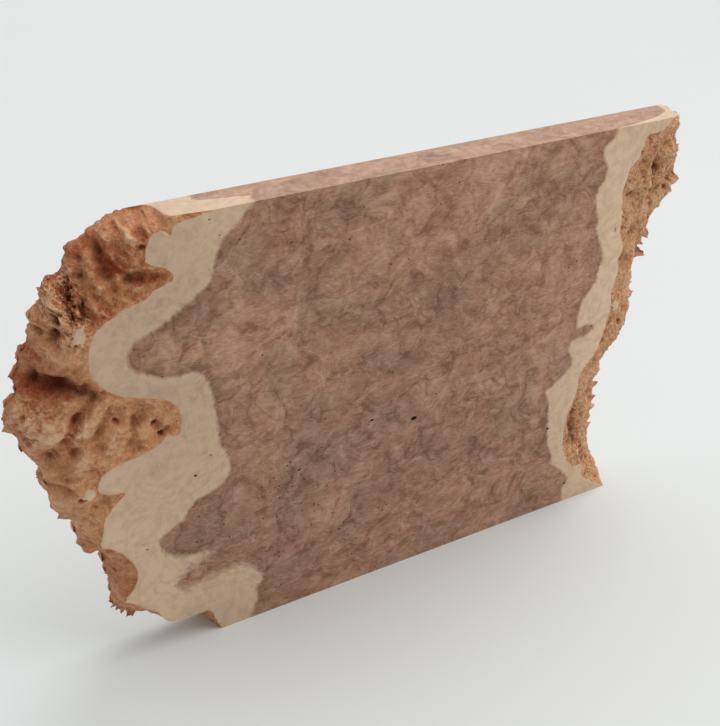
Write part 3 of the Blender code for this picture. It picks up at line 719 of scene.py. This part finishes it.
def triangulate(loops, lines, loose):
    """Triangles over the first loop's inside, with the other loops and lines kept as edges."""
    points, edges = [], []
    for line, closed in [(loop, True) for loop in loops] + [(line, False) for line in lines]:
        start = len(points)
        points += [Vector(point) for point in line]
        edges += [(start + i, start + i + 1) for i in range(len(line) - 1)]
        if closed:
            edges.append((start + len(line) - 1, start))
    points += [Vector(point) for point in loose]
    # The 1 asks for the triangles inside the first loop alone
    found = delaunay_2d_cdt(points, edges, [], 1, 1e-5)
    return np.array([tuple(point) for point in found[0]]), found[2]


# Material slots of the slab: sanded front and back, narrow top and bottom, the burl's outside
SAWN, EDGE, OUTSIDE = 0, 1, 2


def add_sheet(body, spots, faces, material, heights=None):
    """Adds faces over the spots. material is a slot, or a slot for each face."""
    hollow = body.verts.layers.float["hollow"]
    corners = [body.verts.new(Vector(spot)) for spot in spots]
    if heights is not None:
        for corner, height in zip(corners, heights):
            corner[hollow] = height
    slots = np.broadcast_to(material, len(faces))
    for face, slot in zip(faces, slots):
        made = body.faces.new([corners[i] for i in face])
        made.material_index = int(slot)


def pit_points():
    """Rings of points for the open pits in the front cut, with their depth."""
    points, depths = [], []
    for x, z, half_x, half_z, depth in FRONT_PITS:
        for share, sink, count in PIT_RINGS:
            points.append(oval((x, z), (half_x * share, half_z * share), count))
            depths += [sink * depth] * count
    return np.vstack(points), np.array(depths)


def eye_points():
    """Middles of the eyes and rings of points round them, so that their patterns come out clear."""
    rings = [oval((x, z), (radius * share, radius * share), count)
             for x, z, radius, _ in EYES for share, count in EYE_RINGS]
    return np.vstack([[(x, z) for x, z, _, _ in EYES], *rings])


def front_points(sizes, outlines, outside, sunk):
    """Loose points of the front sheet: thorns, open pits, eyes, plain wood and the outside."""
    roots = outside.roots()
    roots = roots[inside(roots, outlines.outer) & ~inside(roots, outlines.front)]
    lines = [outlines.front_left, outlines.front_right, outlines.outer, *outlines.islands]
    eyes = eye_points()
    eyes = eyes[gaps(eyes, sunk) > EYE_CLEARANCE]
    plain = filling(outlines.front, sizes.face_step / MM, np.vstack([*lines, sunk, eyes]),
                    FLAT_CLEARANCE)
    marks = [*lines, roots]
    return np.vstack([roots, sunk, eyes, plain,
                      scatter(sizes.outside_step / MM, outlines, marks),
                      scatter(sizes.rim_step / MM, outlines, marks, rim=True)])


def front_sheet(body, sizes, outlines, outside):
    """The front cut and the burl's outside at both ends, in one sheet.

    It gives the points that lie on the top and bottom cuts, where those sheets join it.
    """
    sunk, sink = pit_points()
    loose = front_points(sizes, outlines, outside, sunk)
    flat, faces = triangulate([outlines.outer, *outlines.islands],
                              [outlines.front_left, outlines.front_right], loose)
    cut_marks = np.vstack([outlines.front, *outlines.islands])
    on_cut = (gaps(flat, cut_marks) < SAME) | outlines.on_front(off_cuts(flat))
    on_back = gaps(flat, np.vstack([outlines.back_left, outlines.back_right])) < SAME
    on_sawn_edge = (flat[:, 1] < WELD) | (flat[:, 1] > HEIGHT - WELD)
    fixed = on_cut | on_back | on_sawn_edge
    spots = np.insert(flat, 1, 0, axis=1)
    heights = np.zeros(len(flat))
    spots[~fixed], heights[~fixed] = outside.place(flat[~fixed])
    spots[on_sawn_edge, 1] = outside.base(flat[on_sawn_edge])[0]
    spots[on_back, 1] = THICKNESS
    spots[on_cut, 1] = pit_depths(flat[on_cut], sunk, sink)
    heights[on_cut] = -spots[on_cut, 1]
    heights[inside(flat, WORN_CORNER)] = 0
    middles = flat[np.array([face[:3] for face in faces])].mean(axis=1)
    sawn = outlines.on_front(middles) | inside(middles, WORN_CORNER)
    add_sheet(body, spots, faces, np.where(sawn, SAWN, OUTSIDE), heights)
    return spots[on_sawn_edge]


def pit_depths(points, sunk, sink):
    """Depth of each point of the front cut: nought, or its ring's depth in an open pit."""
    return np.array([sink[i] if gap < SAME else 0 for i, gap in nearest(points, sunk)])


def flat_sheet(body, loop, spacing, clearance, axis, level, material):
    """A flat sheet inside the loop, at that level of the given axis."""
    flat, faces = triangulate([loop], [], filling(loop, spacing, loop, clearance))
    add_sheet(body, np.insert(flat, axis, level, axis=1), faces, material)


def sawn_edges(body, rims):
    """The top and bottom cuts, between the front sheet's edge and the back cut."""
    for level in (0, HEIGHT):
        rim = rims[abs(rims[:, 2] - level) < 1][:, :2]
        rim = rim[np.argsort(rim[:, 0], kind="stable")]
        line = straight((rim[-1, 0], THICKNESS), (rim[0, 0], THICKNESS), LONG_EDGE_STEP)
        flat_sheet(body, np.vstack([rim, line]), LONG_EDGE_STEP, EDGE_CLEARANCE, 2, level, EDGE)


def back_face(body, sizes, outlines):
    left, right = outlines.back_left, outlines.back_right
    loop = np.vstack([left, straight(left[-1], right[-1], LONG_EDGE_STEP), right[::-1],
                      straight(right[0], left[0], LONG_EDGE_STEP)])
    flat_sheet(body, loop, sizes.back_step / MM, FLAT_CLEARANCE, 1, THICKNESS, SAWN)


def heart_depth(spots, sapwood, back_edge):
    """Distance in mm from the heartwood's edge, more than nought inside it.

    It turns from the front cut's pattern to the back cut's as the depth grows.
    """
    flat = off_cuts(spots[:, [0, 2]])
    loop = np.vstack([curve(HEART_LEFT, HEART_STEP), curve(HEART_RIGHT, HEART_STEP)[::-1]])
    front = gaps(flat, loop) * np.where(inside(flat, loop), 1, -1)
    on_left = flat[:, 0] < CENTRE_X
    high = rising(flat[:, 1], *SAPWOOD_RISE)
    width = np.where(on_left, sapwood + WIDER_LEFT * high, sapwood - NARROWER_RIGHT * high)
    back = gaps(flat, back_edge) - width
    deep = np.clip(spots[:, 1] / THICKNESS, 0, 1)
    turn = np.where(on_left, rising(deep, *LEFT_TURN), 1 - (1 - deep) ** RIGHT_TURN)
    return ((1 - turn) * front + turn * back) / (1 + BLUR * patches(spots, [BLURRED]))


def eyes(spots):
    """Distance to the nearest eye's middle as a share of its radius, and that eye's clearness."""
    reach, clear = np.full(len(spots), FAR), np.zeros(len(spots))
    for x, z, radius, clearness in EYES:
        away = np.hypot(spots[:, 0] - x, spots[:, 2] - z) / radius
        near = (away < reach) & (spots[:, 1] < THICKNESS / 2)
        reach[near], clear[near] = away[near], clearness
    return reach, clear


def patches(spots, table):
    """How deep each spot lies in the patches of the table, each falling off smoothly."""
    share = np.zeros(len(spots))
    for x, z, half_x, half_z, *strength in table:
        away = ((spots[:, 0] - x) / half_x) ** 2 + ((spots[:, 2] - z) / half_z) ** 2
        share += np.exp(-away) * (strength[0] if strength else 1)
    return share


def add(tree, kind, inputs=(), stops=(), out=None, **settings):
    """Adds a node and gives its first output, or the named one.

    inputs maps sockets, by name or number, to a value or to another node's output, or lists them
    in the sockets' order. stops are a colour ramp's places and colours.
    """
    node = tree.nodes.new("ShaderNode" + kind)
    for name, value in settings.items():
        setattr(node, name, value)
    for key, value in inputs.items() if isinstance(inputs, dict) else enumerate(inputs):
        by_name = (socket for socket in node.inputs if socket.enabled and socket.name == key)
        socket = node.inputs[key] if isinstance(key, int) else next(by_name)
        if isinstance(value, bpy.types.NodeSocket):
            tree.links.new(value, socket)
        else:
            socket.default_value = value
    for i, (place, colour) in enumerate(stops):
        ramp = node.color_ramp.elements
        stop = ramp[i] if i < len(ramp) else ramp.new(place)
        stop.position, stop.color = place, colour
    return node.outputs[out] if out else next(o for o in node.outputs if o.enabled)


def material_tree(name, **values):
    """A new material, its node tree and its Principled shader with the given plain values."""
    material = bpy.data.materials.new(name)
    material.use_nodes = True
    shader = material.node_tree.nodes["Principled BSDF"]
    for socket, value in values.items():
        shader.inputs[socket.replace("_", " ")].default_value = value
    return material, material.node_tree, shader


# Settings of the Mix nodes: one colour laid over another, and one tinted by another
OVER = {"data_type": "RGBA"}
TINT = {"data_type": "RGBA", "blend_type": "MULTIPLY"}


def rgba(colour):
    return (*colour, 1)


def millimetres(tree):
    """Places on the piece, in millimetres."""
    place = add(tree, "TexCoord", out="Object")
    return add(tree, "VectorMath", {0: place, "Scale": 1 / MM}, operation="SCALE")


def swirled(tree, place, reach, size):
    """The place moved about by smooth noise of that size, which bends every pattern on it."""
    stir = add(tree, "TexNoise", {"Vector": place, "Scale": 1 / size, "Detail": 1.0}, out="Color")
    centred = add(tree, "VectorMath", {0: stir, 1: (0.5, 0.5, 0.5)}, operation="SUBTRACT")
    moved = add(tree, "VectorMath", {0: centred, "Scale": reach}, operation="SCALE")
    return add(tree, "VectorMath", {0: place, 1: moved}, operation="ADD")


def layered(tree, base, *layers):
    """The base with each layer added to it, times its share."""
    for layer, share in layers:
        base = add(tree, "Math", (layer, share, base), operation="MULTIPLY_ADD")
    return base


# Sizes of the wood's patterns, in millimetres
GRAIN_HILL = 15        # swellings of the grain, round which the fibres run
FIBRE = 25 / 3         # waves of the fibres, whose finest lines come 2 to 4 mm apart
FLECK = (3, 0.9, 0.9)  # a fleck's length along the slab, and its width both ways
CLOUD = 8              # clouds of the heartwood
BROAD = 42             # broad changes of its tone
VEIN_GAP = 26          # between its thin dark veins
DULL_PATCH = 30        # its greyer patches
EYE_WAVE = 2.5         # waves of the rings round a bud
GROWTH_LINE = 1.4      # between the growth lines of the sapwood
LINE_STRETCH = 12.5    # how many times longer than wide those lines are
SAP_CLOUD = 5          # clouds of the sapwood
EDGE_WAVE = 3.5        # waves of the edge between the two woods
PORE_GAP = 2.4         # between pores
SCRATCH_GAP = 3.47     # between the saw's scratches, three times too far so that they show

# Places of the tones in an eye, from its middle to 2 radii out, and how light each is
EYE_TONES = [(0.0, 0.5), (0.2, 0.62), (0.47, 0.6), (0.58, 0.2), (0.7, 0.6), (0.95, 0.5)]


def heartwood_colour(tree, colours, place, bent, heart):
    """Figure of the heartwood: fibres that curl round its buds, short flecks, clouds and veins."""
    hills = add(tree, "TexNoise", {"Vector": bent, "Scale": 1 / GRAIN_HILL, "Detail": 1.0})
    # The height of the hills moves the fibres by up to some 9 of their waves
    lift = add(tree, "CombineXYZ", (add(tree, "Math", (hills, 9.0), operation="MULTIPLY"),))
    round_hills = add(tree, "VectorMath", (place, [1 / FIBRE] * 3, lift),
                      operation="MULTIPLY_ADD")
    fibres = add(tree, "TexNoise", {"Vector": round_hills, "Scale": 1.0, "Detail": 4.0,
                                    "Roughness": 0.62})
    drawn = add(tree, "VectorMath", (swirled(tree, place, 9, 13), [1 / size for size in FLECK]),
                operation="MULTIPLY")
    flecks = add(tree, "TexNoise", {"Vector": drawn, "Scale": 1.0, "Detail": 3.0, "Roughness": 0.6})
    clouds = add(tree, "TexNoise", {"Vector": bent, "Scale": 1 / CLOUD, "Detail": 4.0,
                                    "Roughness": 0.6})
    broad = add(tree, "TexNoise", {"Vector": place, "Scale": 1 / BROAD, "Detail": 2.0})
    vein = add(tree, "TexNoise", {"Vector": bent, "Scale": 1 / VEIN_GAP, "Detail": 3.0})
    vein = add(tree, "Math", (vein, 0.5), operation="SUBTRACT")
    vein = add(tree, "Math", (vein,), operation="ABSOLUTE")
    vein = add(tree, "MapRange", (vein, 0.0, 0.035, -0.065, 0.0))
    rim = add(tree, "MapRange", (heart, 0.0, 7.0, -0.03, 0.0))
    tone = layered(tree, 0.0, (fibres, 0.30), (flecks, 0.26), (clouds, 0.30), (broad, 0.14),
                   (vein, 1.0), (rim, 1.0))
    wood = add(tree, "ValToRGB", {"Fac": tone}, stops=[
        (0.39, rgba(colours.heartwood_dark)), (0.5, rgba(colours.heartwood)),
        (0.62, rgba(colours.heartwood_light))])
    patch = add(tree, "TexNoise", {"Vector": bent, "Scale": 1 / DULL_PATCH, "Detail": 2.0})
    dull = add(tree, "MapRange", (patch, 0.45, 0.62, 0.0, 0.65))
    wood = add(tree, "Mix", {"Factor": dull, "A": wood, "B": rgba(colours.heartwood_dull)}, **TINT)
    return wood, flecks


def eye_shade(tree, place, eye, clear):
    """Shade of the eyes: pale buds inside a thin dark ring, as clear as each eye is."""
    wobble = add(tree, "TexNoise", {"Vector": place, "Scale": 1 / EYE_WAVE})
    eye = layered(tree, eye, (wobble, 0.35))
    shade = add(tree, "ValToRGB", {"Fac": add(tree, "MapRange", (eye, 0.0, 2.0))},
                stops=[(reach, (tone, tone, tone, 1)) for reach, tone in EYE_TONES])
    shade = add(tree, "Math", (shade, 0.5), operation="SUBTRACT")
    clear = add(tree, "Math", (clear, 0.75), operation="MULTIPLY")
    return add(tree, "Math", (shade, clear, 1.0), operation="MULTIPLY_ADD")


def sapwood_colour(tree, colours, place, bent, heart):
    """Plain sapwood with faint growth lines along the heartwood's edge."""
    across = add(tree, "CombineXYZ", (heart,))
    spread = add(tree, "VectorMath", (place, [1 / LINE_STRETCH] * 3, across),
                 operation="MULTIPLY_ADD")
    lines = add(tree, "TexNoise", {"Vector": spread, "Scale": 1 / GROWTH_LINE, "Detail": 3.0})
    cloud = add(tree, "TexNoise", {"Vector": bent, "Scale": 1 / SAP_CLOUD, "Detail": 5.0,
                                   "Roughness": 0.65})
    return add(tree, "ValToRGB", {"Fac": layered(tree, 0.0, (cloud, 0.78), (lines, 0.22))}, stops=[
        (0.34, rgba(colours.sapwood_dark)), (0.56, rgba(colours.sapwood))])


def pores(tree, place, edge, thick, hollow):
    """Open pores about 0.8 mm across, drawn a little wide so that they read from a step away.

    They are fainter in the sapwood and thicker in patches. The open pits of the cut come with
    them.
    """
    away = add(tree, "TexVoronoi", {"Vector": place, "Scale": 1 / PORE_GAP}, out="Distance")
    lot = add(tree, "SeparateColor", (away.node.outputs["Color"],))
    chosen = add(tree, "MapRange", (thick, 0.0, 1.0, 0.99, 0.72))
    chosen = add(tree, "Math", (lot, chosen), operation="GREATER_THAN")
    strength = add(tree, "MapRange", (edge, 0.0, 1.0, 0.25, 0.8))
    dot = add(tree, "MapRange", (away, 0.30, 0.15))
    for share in (chosen, strength):
        dot = add(tree, "Math", (dot, share), operation="MULTIPLY")
    pit = add(tree, "MapRange", (hollow, -0.02, -0.4))
    return add(tree, "Math", (dot, pit), operation="MAXIMUM")


def sawn_burl(name, colours, saw_marks):
    """Mallee burl wood, sawn and lightly sanded.

    The fibres of burl run in every direction, so the heartwood shows a swirling cloudy figure of
    short flecks with rings round dormant buds and small open pores. The sapwood is plain. Wood
    without a finish is matt.
    """
    material, tree, shader = material_tree(name, Roughness=0.62, IOR=1.5, Specular_IOR_Level=0.35)
    place = millimetres(tree)
    heart, eye, clear, shade, thick, hollow = (
        add(tree, "Attribute", attribute_name=given, out="Fac")
        for given in ("heart", "eye", "eye_clear", "shade", "pores", "hollow"))
    bent = swirled(tree, swirled(tree, place, 22, 30), 7, 9)
    heartwood, flecks = heartwood_colour(tree, colours, place, bent, heart)
    heartwood = add(tree, "Mix", {"Factor": 1.0, "A": heartwood,
                                  "B": eye_shade(tree, place, eye, clear)}, **TINT)
    sapwood = sapwood_colour(tree, colours, place, bent, heart)
    # The edge between them wanders by about 1 mm and is soft over 2 mm
    edge = add(tree, "TexNoise", {"Vector": bent, "Scale": 1 / EDGE_WAVE, "Detail": 3.0})
    edge = add(tree, "MapRange", (layered(tree, heart, (edge, 3.4)), 0.7, 2.7))
    wood = add(tree, "Mix", {"Factor": edge, "A": sapwood, "B": heartwood}, **OVER)
    # Broad paler and darker patches, partly the wood's own tone and partly painted light
    wood = add(tree, "Mix", {"Factor": 1.0, "A": wood, "B": shade}, **TINT)
    pore = pores(tree, place, edge, thick, hollow)
    wood = add(tree, "Mix", {"Factor": pore, "A": wood, "B": rgba(colours.pore)}, **OVER)
    # Sanding leaves the flecks standing a few hundredths of a millimetre
    height = layered(tree, flecks, (pore, -0.8))
    if saw_marks:
        # A saw leaves slanted scratches across the narrow cut. At scale 1 the bands of a
        # diagonal wave texture come 2 pi / 10 apart
        slant = add(tree, "VectorMath", (place, Vector((1, 2, 0)).normalized()),
                    operation="MULTIPLY")
        marks = add(tree, "TexWave", {"Vector": slant, "Scale": 2 * np.pi / 10 / SCRATCH_GAP,
                                      "Distortion": 3.0, "Detail": 2.0, "Detail Scale": 1.2},
                    bands_direction="DIAGONAL")
        height = layered(tree, height, (marks, 0.9))
        # The torn fibres of the unsanded cut catch the light and look paler
        wood = add(tree, "Mix", {"Factor": 0.14, "A": wood, "B": rgba(colours.torn)}, **OVER)
    tree.links.new(wood, shader.inputs["Base Color"])
    bump = add(tree, "Bump", {"Height": height, "Strength": 0.35, "Distance": 0.12 * MM})
    tree.links.new(bump, shader.inputs["Normal"])
    return material


# Sizes of the outside's patterns, in millimetres
SKIN_PATTERNS = [(6, 4.0, 0.6), (2.4, 5.0, 0.7), (1.2, 4.0, 0.7)]  # size, detail and roughness
WORM_WAVE = 3.2        # waves of the worm-like ridges, which come about 1 mm wide
HOLE_GAP = 2.7         # between the small dark holes
WRINKLE = 0.6          # the finest wrinkles


def burl_skin(name, colours):
    """The burl's outside under its bark, as it grew, cleaned and left bare.

    The cambium dries to an orange brown skin. Bark has stained it red brown in places, and the same red
    brown is laid as painted shade in some deep valleys.
    Hollows and pits are painted darker as shade, with the dirt they hold, and thorns are darker. Hills
    are painted paler as highlight, and broken ground has pale worm-like ridges. It has a slight satin
    shine.
    """
    material, tree, shader = material_tree(name, Roughness=0.5, IOR=1.5, Specular_IOR_Level=0.3)
    place = millimetres(tree)
    height, stain_and_shade, broken = (add(tree, "Attribute", attribute_name=given, out="Fac")
                             for given in ("hollow", "stain_and_shade", "broken"))
    blotch, mottle, speck = (
        add(tree, "TexNoise", {"Vector": place, "Scale": 1 / size, "Detail": detail,
                               "Roughness": roughness})
        for size, detail, roughness in SKIN_PATTERNS)
    # Red brown stain from the bark, which also stands as painted shade in some deep valleys
    stain_and_shade = add(tree, "MapRange", (layered(tree, stain_and_shade, (blotch, 2.4)), 0.95, 2.0))
    level = layered(tree, height, (speck, 4.0), (blotch, 1.2), (mottle, 3.4))
    # Painted highlight: where the level is high, the hills and ridges turn paler
    crest = add(tree, "MapRange", (level, 4.4, 7.2, 0.0, 0.9))
    # Broken ground has pale ridges like worms and small dark holes between them
    worm = add(tree, "TexNoise", {"Vector": swirled(tree, place, 2, 3), "Scale": 1 / WORM_WAVE,
                                  "Detail": 2.0})
    worm = add(tree, "Math", (worm, 0.5), operation="SUBTRACT")
    worm = add(tree, "Math", (worm,), operation="ABSOLUTE")
    worm = add(tree, "MapRange", (worm, 0.05, 0.01, 0.0, 0.9))
    worm = add(tree, "Math", (worm, broken), operation="MULTIPLY")
    hole = add(tree, "TexVoronoi", {"Vector": place, "Scale": 1 / HOLE_GAP}, out="Distance")
    hole = add(tree, "MapRange", (layered(tree, hole, (mottle, 0.5)), 0.42, 0.30))
    strength = add(tree, "MapRange", (broken, 0.0, 0.6, 0.25, 0.8))
    hole = add(tree, "Math", (hole, strength), operation="MULTIPLY")
    # Painted shade: where the level is low, hollows and pits take the hollow colour, which also stands
    # for the dirt they hold, and the small holes take it as their own dark colour
    deep = add(tree, "MapRange", (level, 3.8, -0.8))
    deep = add(tree, "Math", (deep, hole), operation="MAXIMUM")
    skin = rgba(colours.skin)
    for share, colour in ((stain_and_shade, colours.skin_stain_and_shade), (crest, colours.skin_pale_and_highlight),
                          (worm, colours.skin_pale_and_highlight), (deep, colours.skin_hollow_dirt_and_shade)):
        skin = add(tree, "Mix", {"Factor": share, "A": skin, "B": rgba(colour)}, **OVER)
    tree.links.new(skin, shader.inputs["Base Color"])
    grain = add(tree, "TexNoise", {"Vector": place, "Scale": 1 / WRINKLE, "Detail": 3.0})
    rough = layered(tree, grain, (speck, 2.0), (mottle, 3.5), (worm, 1.5), (hole, -1.5))
    bump = add(tree, "Bump", {"Height": rough, "Strength": 0.85, "Distance": 0.35 * MM})
    tree.links.new(bump, shader.inputs["Normal"])
    return material


def studio_floor(name, colours):
    """White painted board with a matt finish, which gives soft shadows and no reflection."""
    material, tree, shader = material_tree(name, Roughness=0.9)
    place = millimetres(tree)
    # The paint's tone changes very slightly over a hand's breadth or two
    cloud = add(tree, "TexNoise", {"Vector": place, "Scale": 1 / 240, "Detail": 2.0})
    shade = add(tree, "MapRange", (cloud, 0.0, 1.0, 0.97, 1.0))
    paint = add(tree, "Mix", {"Factor": 1.0, "A": rgba(colours.floor), "B": shade}, **TINT)
    tree.links.new(paint, shader.inputs["Base Color"])
    return material


def value_attribute(mesh, name, values):
    layer = mesh.attributes.new(name, "FLOAT", "POINT")
    layer.data.foreach_set("value", np.asarray(values, np.float32))


def burl_mesh(sizes):
    # Vector noise starts from the time of day unless it is given a seed
    noise.seed_set(SEED)
    outlines = Outlines(sizes.outside_step / MM, sizes.face_step / MM)
    outside = Outside()
    body = bmesh.new()
    body.verts.layers.float.new("hollow")
    rims = front_sheet(body, sizes, outlines, outside)
    sawn_edges(body, rims)
    back_face(body, sizes, outlines)
    bmesh.ops.remove_doubles(body, verts=body.verts, dist=WELD)
    # Where all three corners of a face lie on the back cut's edge, both sheets meet and it has no
    # thickness. Such an ear hangs on one edge, so it is taken off.
    ears = {face for edge in body.edges if len(edge.link_faces) == 1 for face in edge.link_faces}
    bmesh.ops.delete(body, geom=list(ears), context="FACES")
    bmesh.ops.recalc_face_normals(body, faces=body.faces)
    mesh = bpy.data.meshes.new("burl_slab_wood")
    body.to_mesh(mesh)
    body.free()
    spots = np.empty(len(mesh.vertices) * 3)
    mesh.vertices.foreach_get("co", spots)
    spots = spots.reshape(-1, 3)
    value_attribute(mesh, "heart", heart_depth(spots, sizes.sapwood / MM, outside.back))
    for name, values in zip(("eye", "eye_clear"), eyes(spots)):
        value_attribute(mesh, name, values)
    value_attribute(mesh, "pores", patches(spots, PORE_PATCHES).clip(0, 1))
    value_attribute(mesh, "stain_and_shade", patches(spots, STAINS_AND_SHADE))
    # Paler and darker patches, partly the wood's own tone and partly painted light
    value_attribute(mesh, "shade", 1 + patches(spots, TONE_AND_LIGHT_PATCHES))
    value_attribute(mesh, "broken", (BROKEN_TONE * roughness(spots[:, [0, 2]])).clip(0, 1))
    placed = (spots - (CENTRE_X, THICKNESS / 2, 0)) * MM
    mesh.vertices.foreach_set("co", placed.ravel())
    mesh.shade_smooth()
    mesh.set_sharp_from_angle(angle=SHARP)
    return mesh


class BURL_OT_slab(bpy.types.Operator):
    """Builds the sawn slab of burl wood with its natural ends"""
    bl_idname = "burl.slab"
    bl_label = "Burl slab"

    def execute(self, context):
        sizes, colours = context.scene.burl_sizes, context.scene.burl_colours
        mesh = burl_mesh(sizes)
        mesh.materials.append(sawn_burl("sawn_mallee_burl", colours, saw_marks=False))
        mesh.materials.append(sawn_burl("bandsawn_mallee_burl", colours, saw_marks=True))
        mesh.materials.append(burl_skin("burl_skin", colours))
        slab = bpy.data.objects.new("burl_slab_wood", mesh)
        context.scene.collection.objects.link(slab)
        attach(slab, "root")
        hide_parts("burl_slab")
        return {"FINISHED"}


# The photograph is 720 x 726 pixels, taken from the slab's front left, looking down on it. Its
# camera's place is in the slab's millimetres, and the other two are its own right and up
LENS_PIXELS = 1000.0
FRAME_HIGH = 726
SENSOR = 36.0
CAMERA_PLACE = Vector((-108.1, -367.6, 409.9))
CAMERA_RIGHT = Vector((0.88661795, -0.46250255, 0))
CAMERA_UP = Vector((0.2493966, 0.47809359, 0.84215667))
FLOOR_HALF = 4.0                        # metres from the middle of the floor to its edges
LAMP_AIM = Vector((0, 0, 0.1))


class BURL_OT_stage(bpy.types.Operator):
    """Sets a plain pale floor, soft light and the camera"""
    bl_idname = "burl.stage"
    bl_label = "Stage"

    def execute(self, context):
        scene = context.scene
        self.floor(scene)
        self.light(scene)
        self.camera(scene)
        scene.view_settings.view_transform = "Standard"
        return {"FINISHED"}

    def floor(self, scene):
        mesh = bpy.data.meshes.new("studio_floor")
        corners = [(x * FLOOR_HALF, y * FLOOR_HALF, 0)
                   for x, y in ((-1, -1), (1, -1), (1, 1), (-1, 1))]
        mesh.from_pydata(corners, [], [(0, 1, 2, 3)])
        mesh.materials.append(studio_floor("matt_white_board", scene.burl_colours))
        floor = bpy.data.objects.new("studio_floor", mesh)
        scene.collection.objects.link(floor)

    def light(self, scene):
        world = bpy.data.worlds.new("white_room")
        scene.world = world
        world.use_nodes = True
        background = world.node_tree.nodes["Background"]
        background.inputs["Color"].default_value = rgba(scene.burl_colours.room)
        background.inputs["Strength"].default_value = scene.burl_light.sky
        burl_light = scene.burl_light
        self.lamp(scene, "skylight", "SUN", (1.2, 0.1, 2.2), burl_light.key, angle=1.2)
        self.lamp(scene, "window", "SUN", (-0.9, 1.1, 1.2), burl_light.window, angle=1.4)
        self.lamp(scene, "softbox", "AREA", (1.2, -0.8, 0.7), burl_light.fill, size=0.8)

    def lamp(self, scene, name, kind, place, energy, **settings):
        light = bpy.data.lights.new(name, kind)
        light.energy = energy
        for setting, value in settings.items():
            setattr(light, setting, value)
        lamp = bpy.data.objects.new(name, light)
        lamp.location = place
        lamp.rotation_euler = (LAMP_AIM - lamp.location).to_track_quat("-Z", "Y").to_euler()
        scene.collection.objects.link(lamp)

    def camera(self, scene):
        camera = bpy.data.cameras.new("camera")
        camera.sensor_width = SENSOR
        camera.lens = LENS_PIXELS * SENSOR / FRAME_HIGH
        backwards = CAMERA_RIGHT.cross(CAMERA_UP)
        stand = Matrix((CAMERA_RIGHT, CAMERA_UP, backwards)).transposed().to_4x4()
        stand.translation = (CAMERA_PLACE - Vector((CENTRE_X, THICKNESS / 2, 0))) * MM
        holder = bpy.data.objects.new("camera", camera)
        holder.matrix_world = stand
        scene.collection.objects.link(holder)
        scene.camera = holder


class BURL_PT_panel(bpy.types.Panel):
    """Lists the slab's sizes, colours and light, and builds each part"""
    bl_idname = "BURL_PT_panel"
    bl_label = "Mallee burl slab"
    bl_space_type = "VIEW_3D"
    bl_region_type = "UI"
    bl_category = "Burl"

    def draw(self, context):
        for name, kind in GROUPS.items():
            box = self.layout.box()
            for setting in kind.__annotations__:
                box.prop(getattr(context.scene, name), setting)
        for kind in OPERATORS:
            self.layout.operator(kind.bl_idname)


OPERATORS = (BURL_OT_slab, BURL_OT_stage)
GROUPS = {"burl_sizes": BurlSizes, "burl_colours": BurlColours, "burl_light": BurlLight}


def register():
    for kind in (*GROUPS.values(), *OPERATORS, BURL_PT_panel):
        bpy.utils.register_class(kind)
    for name, kind in GROUPS.items():
        setattr(bpy.types.Scene, name, bpy.props.PointerProperty(type=kind))


def unregister():
    for name in GROUPS:
        delattr(bpy.types.Scene, name)
    for kind in (BURL_PT_panel, *OPERATORS, *GROUPS.values()):
        bpy.utils.unregister_class(kind)


def main():
    register()
    bpy.ops.burl.slab()
    bpy.ops.burl.stage()


if __name__ == "__main__":
    main()
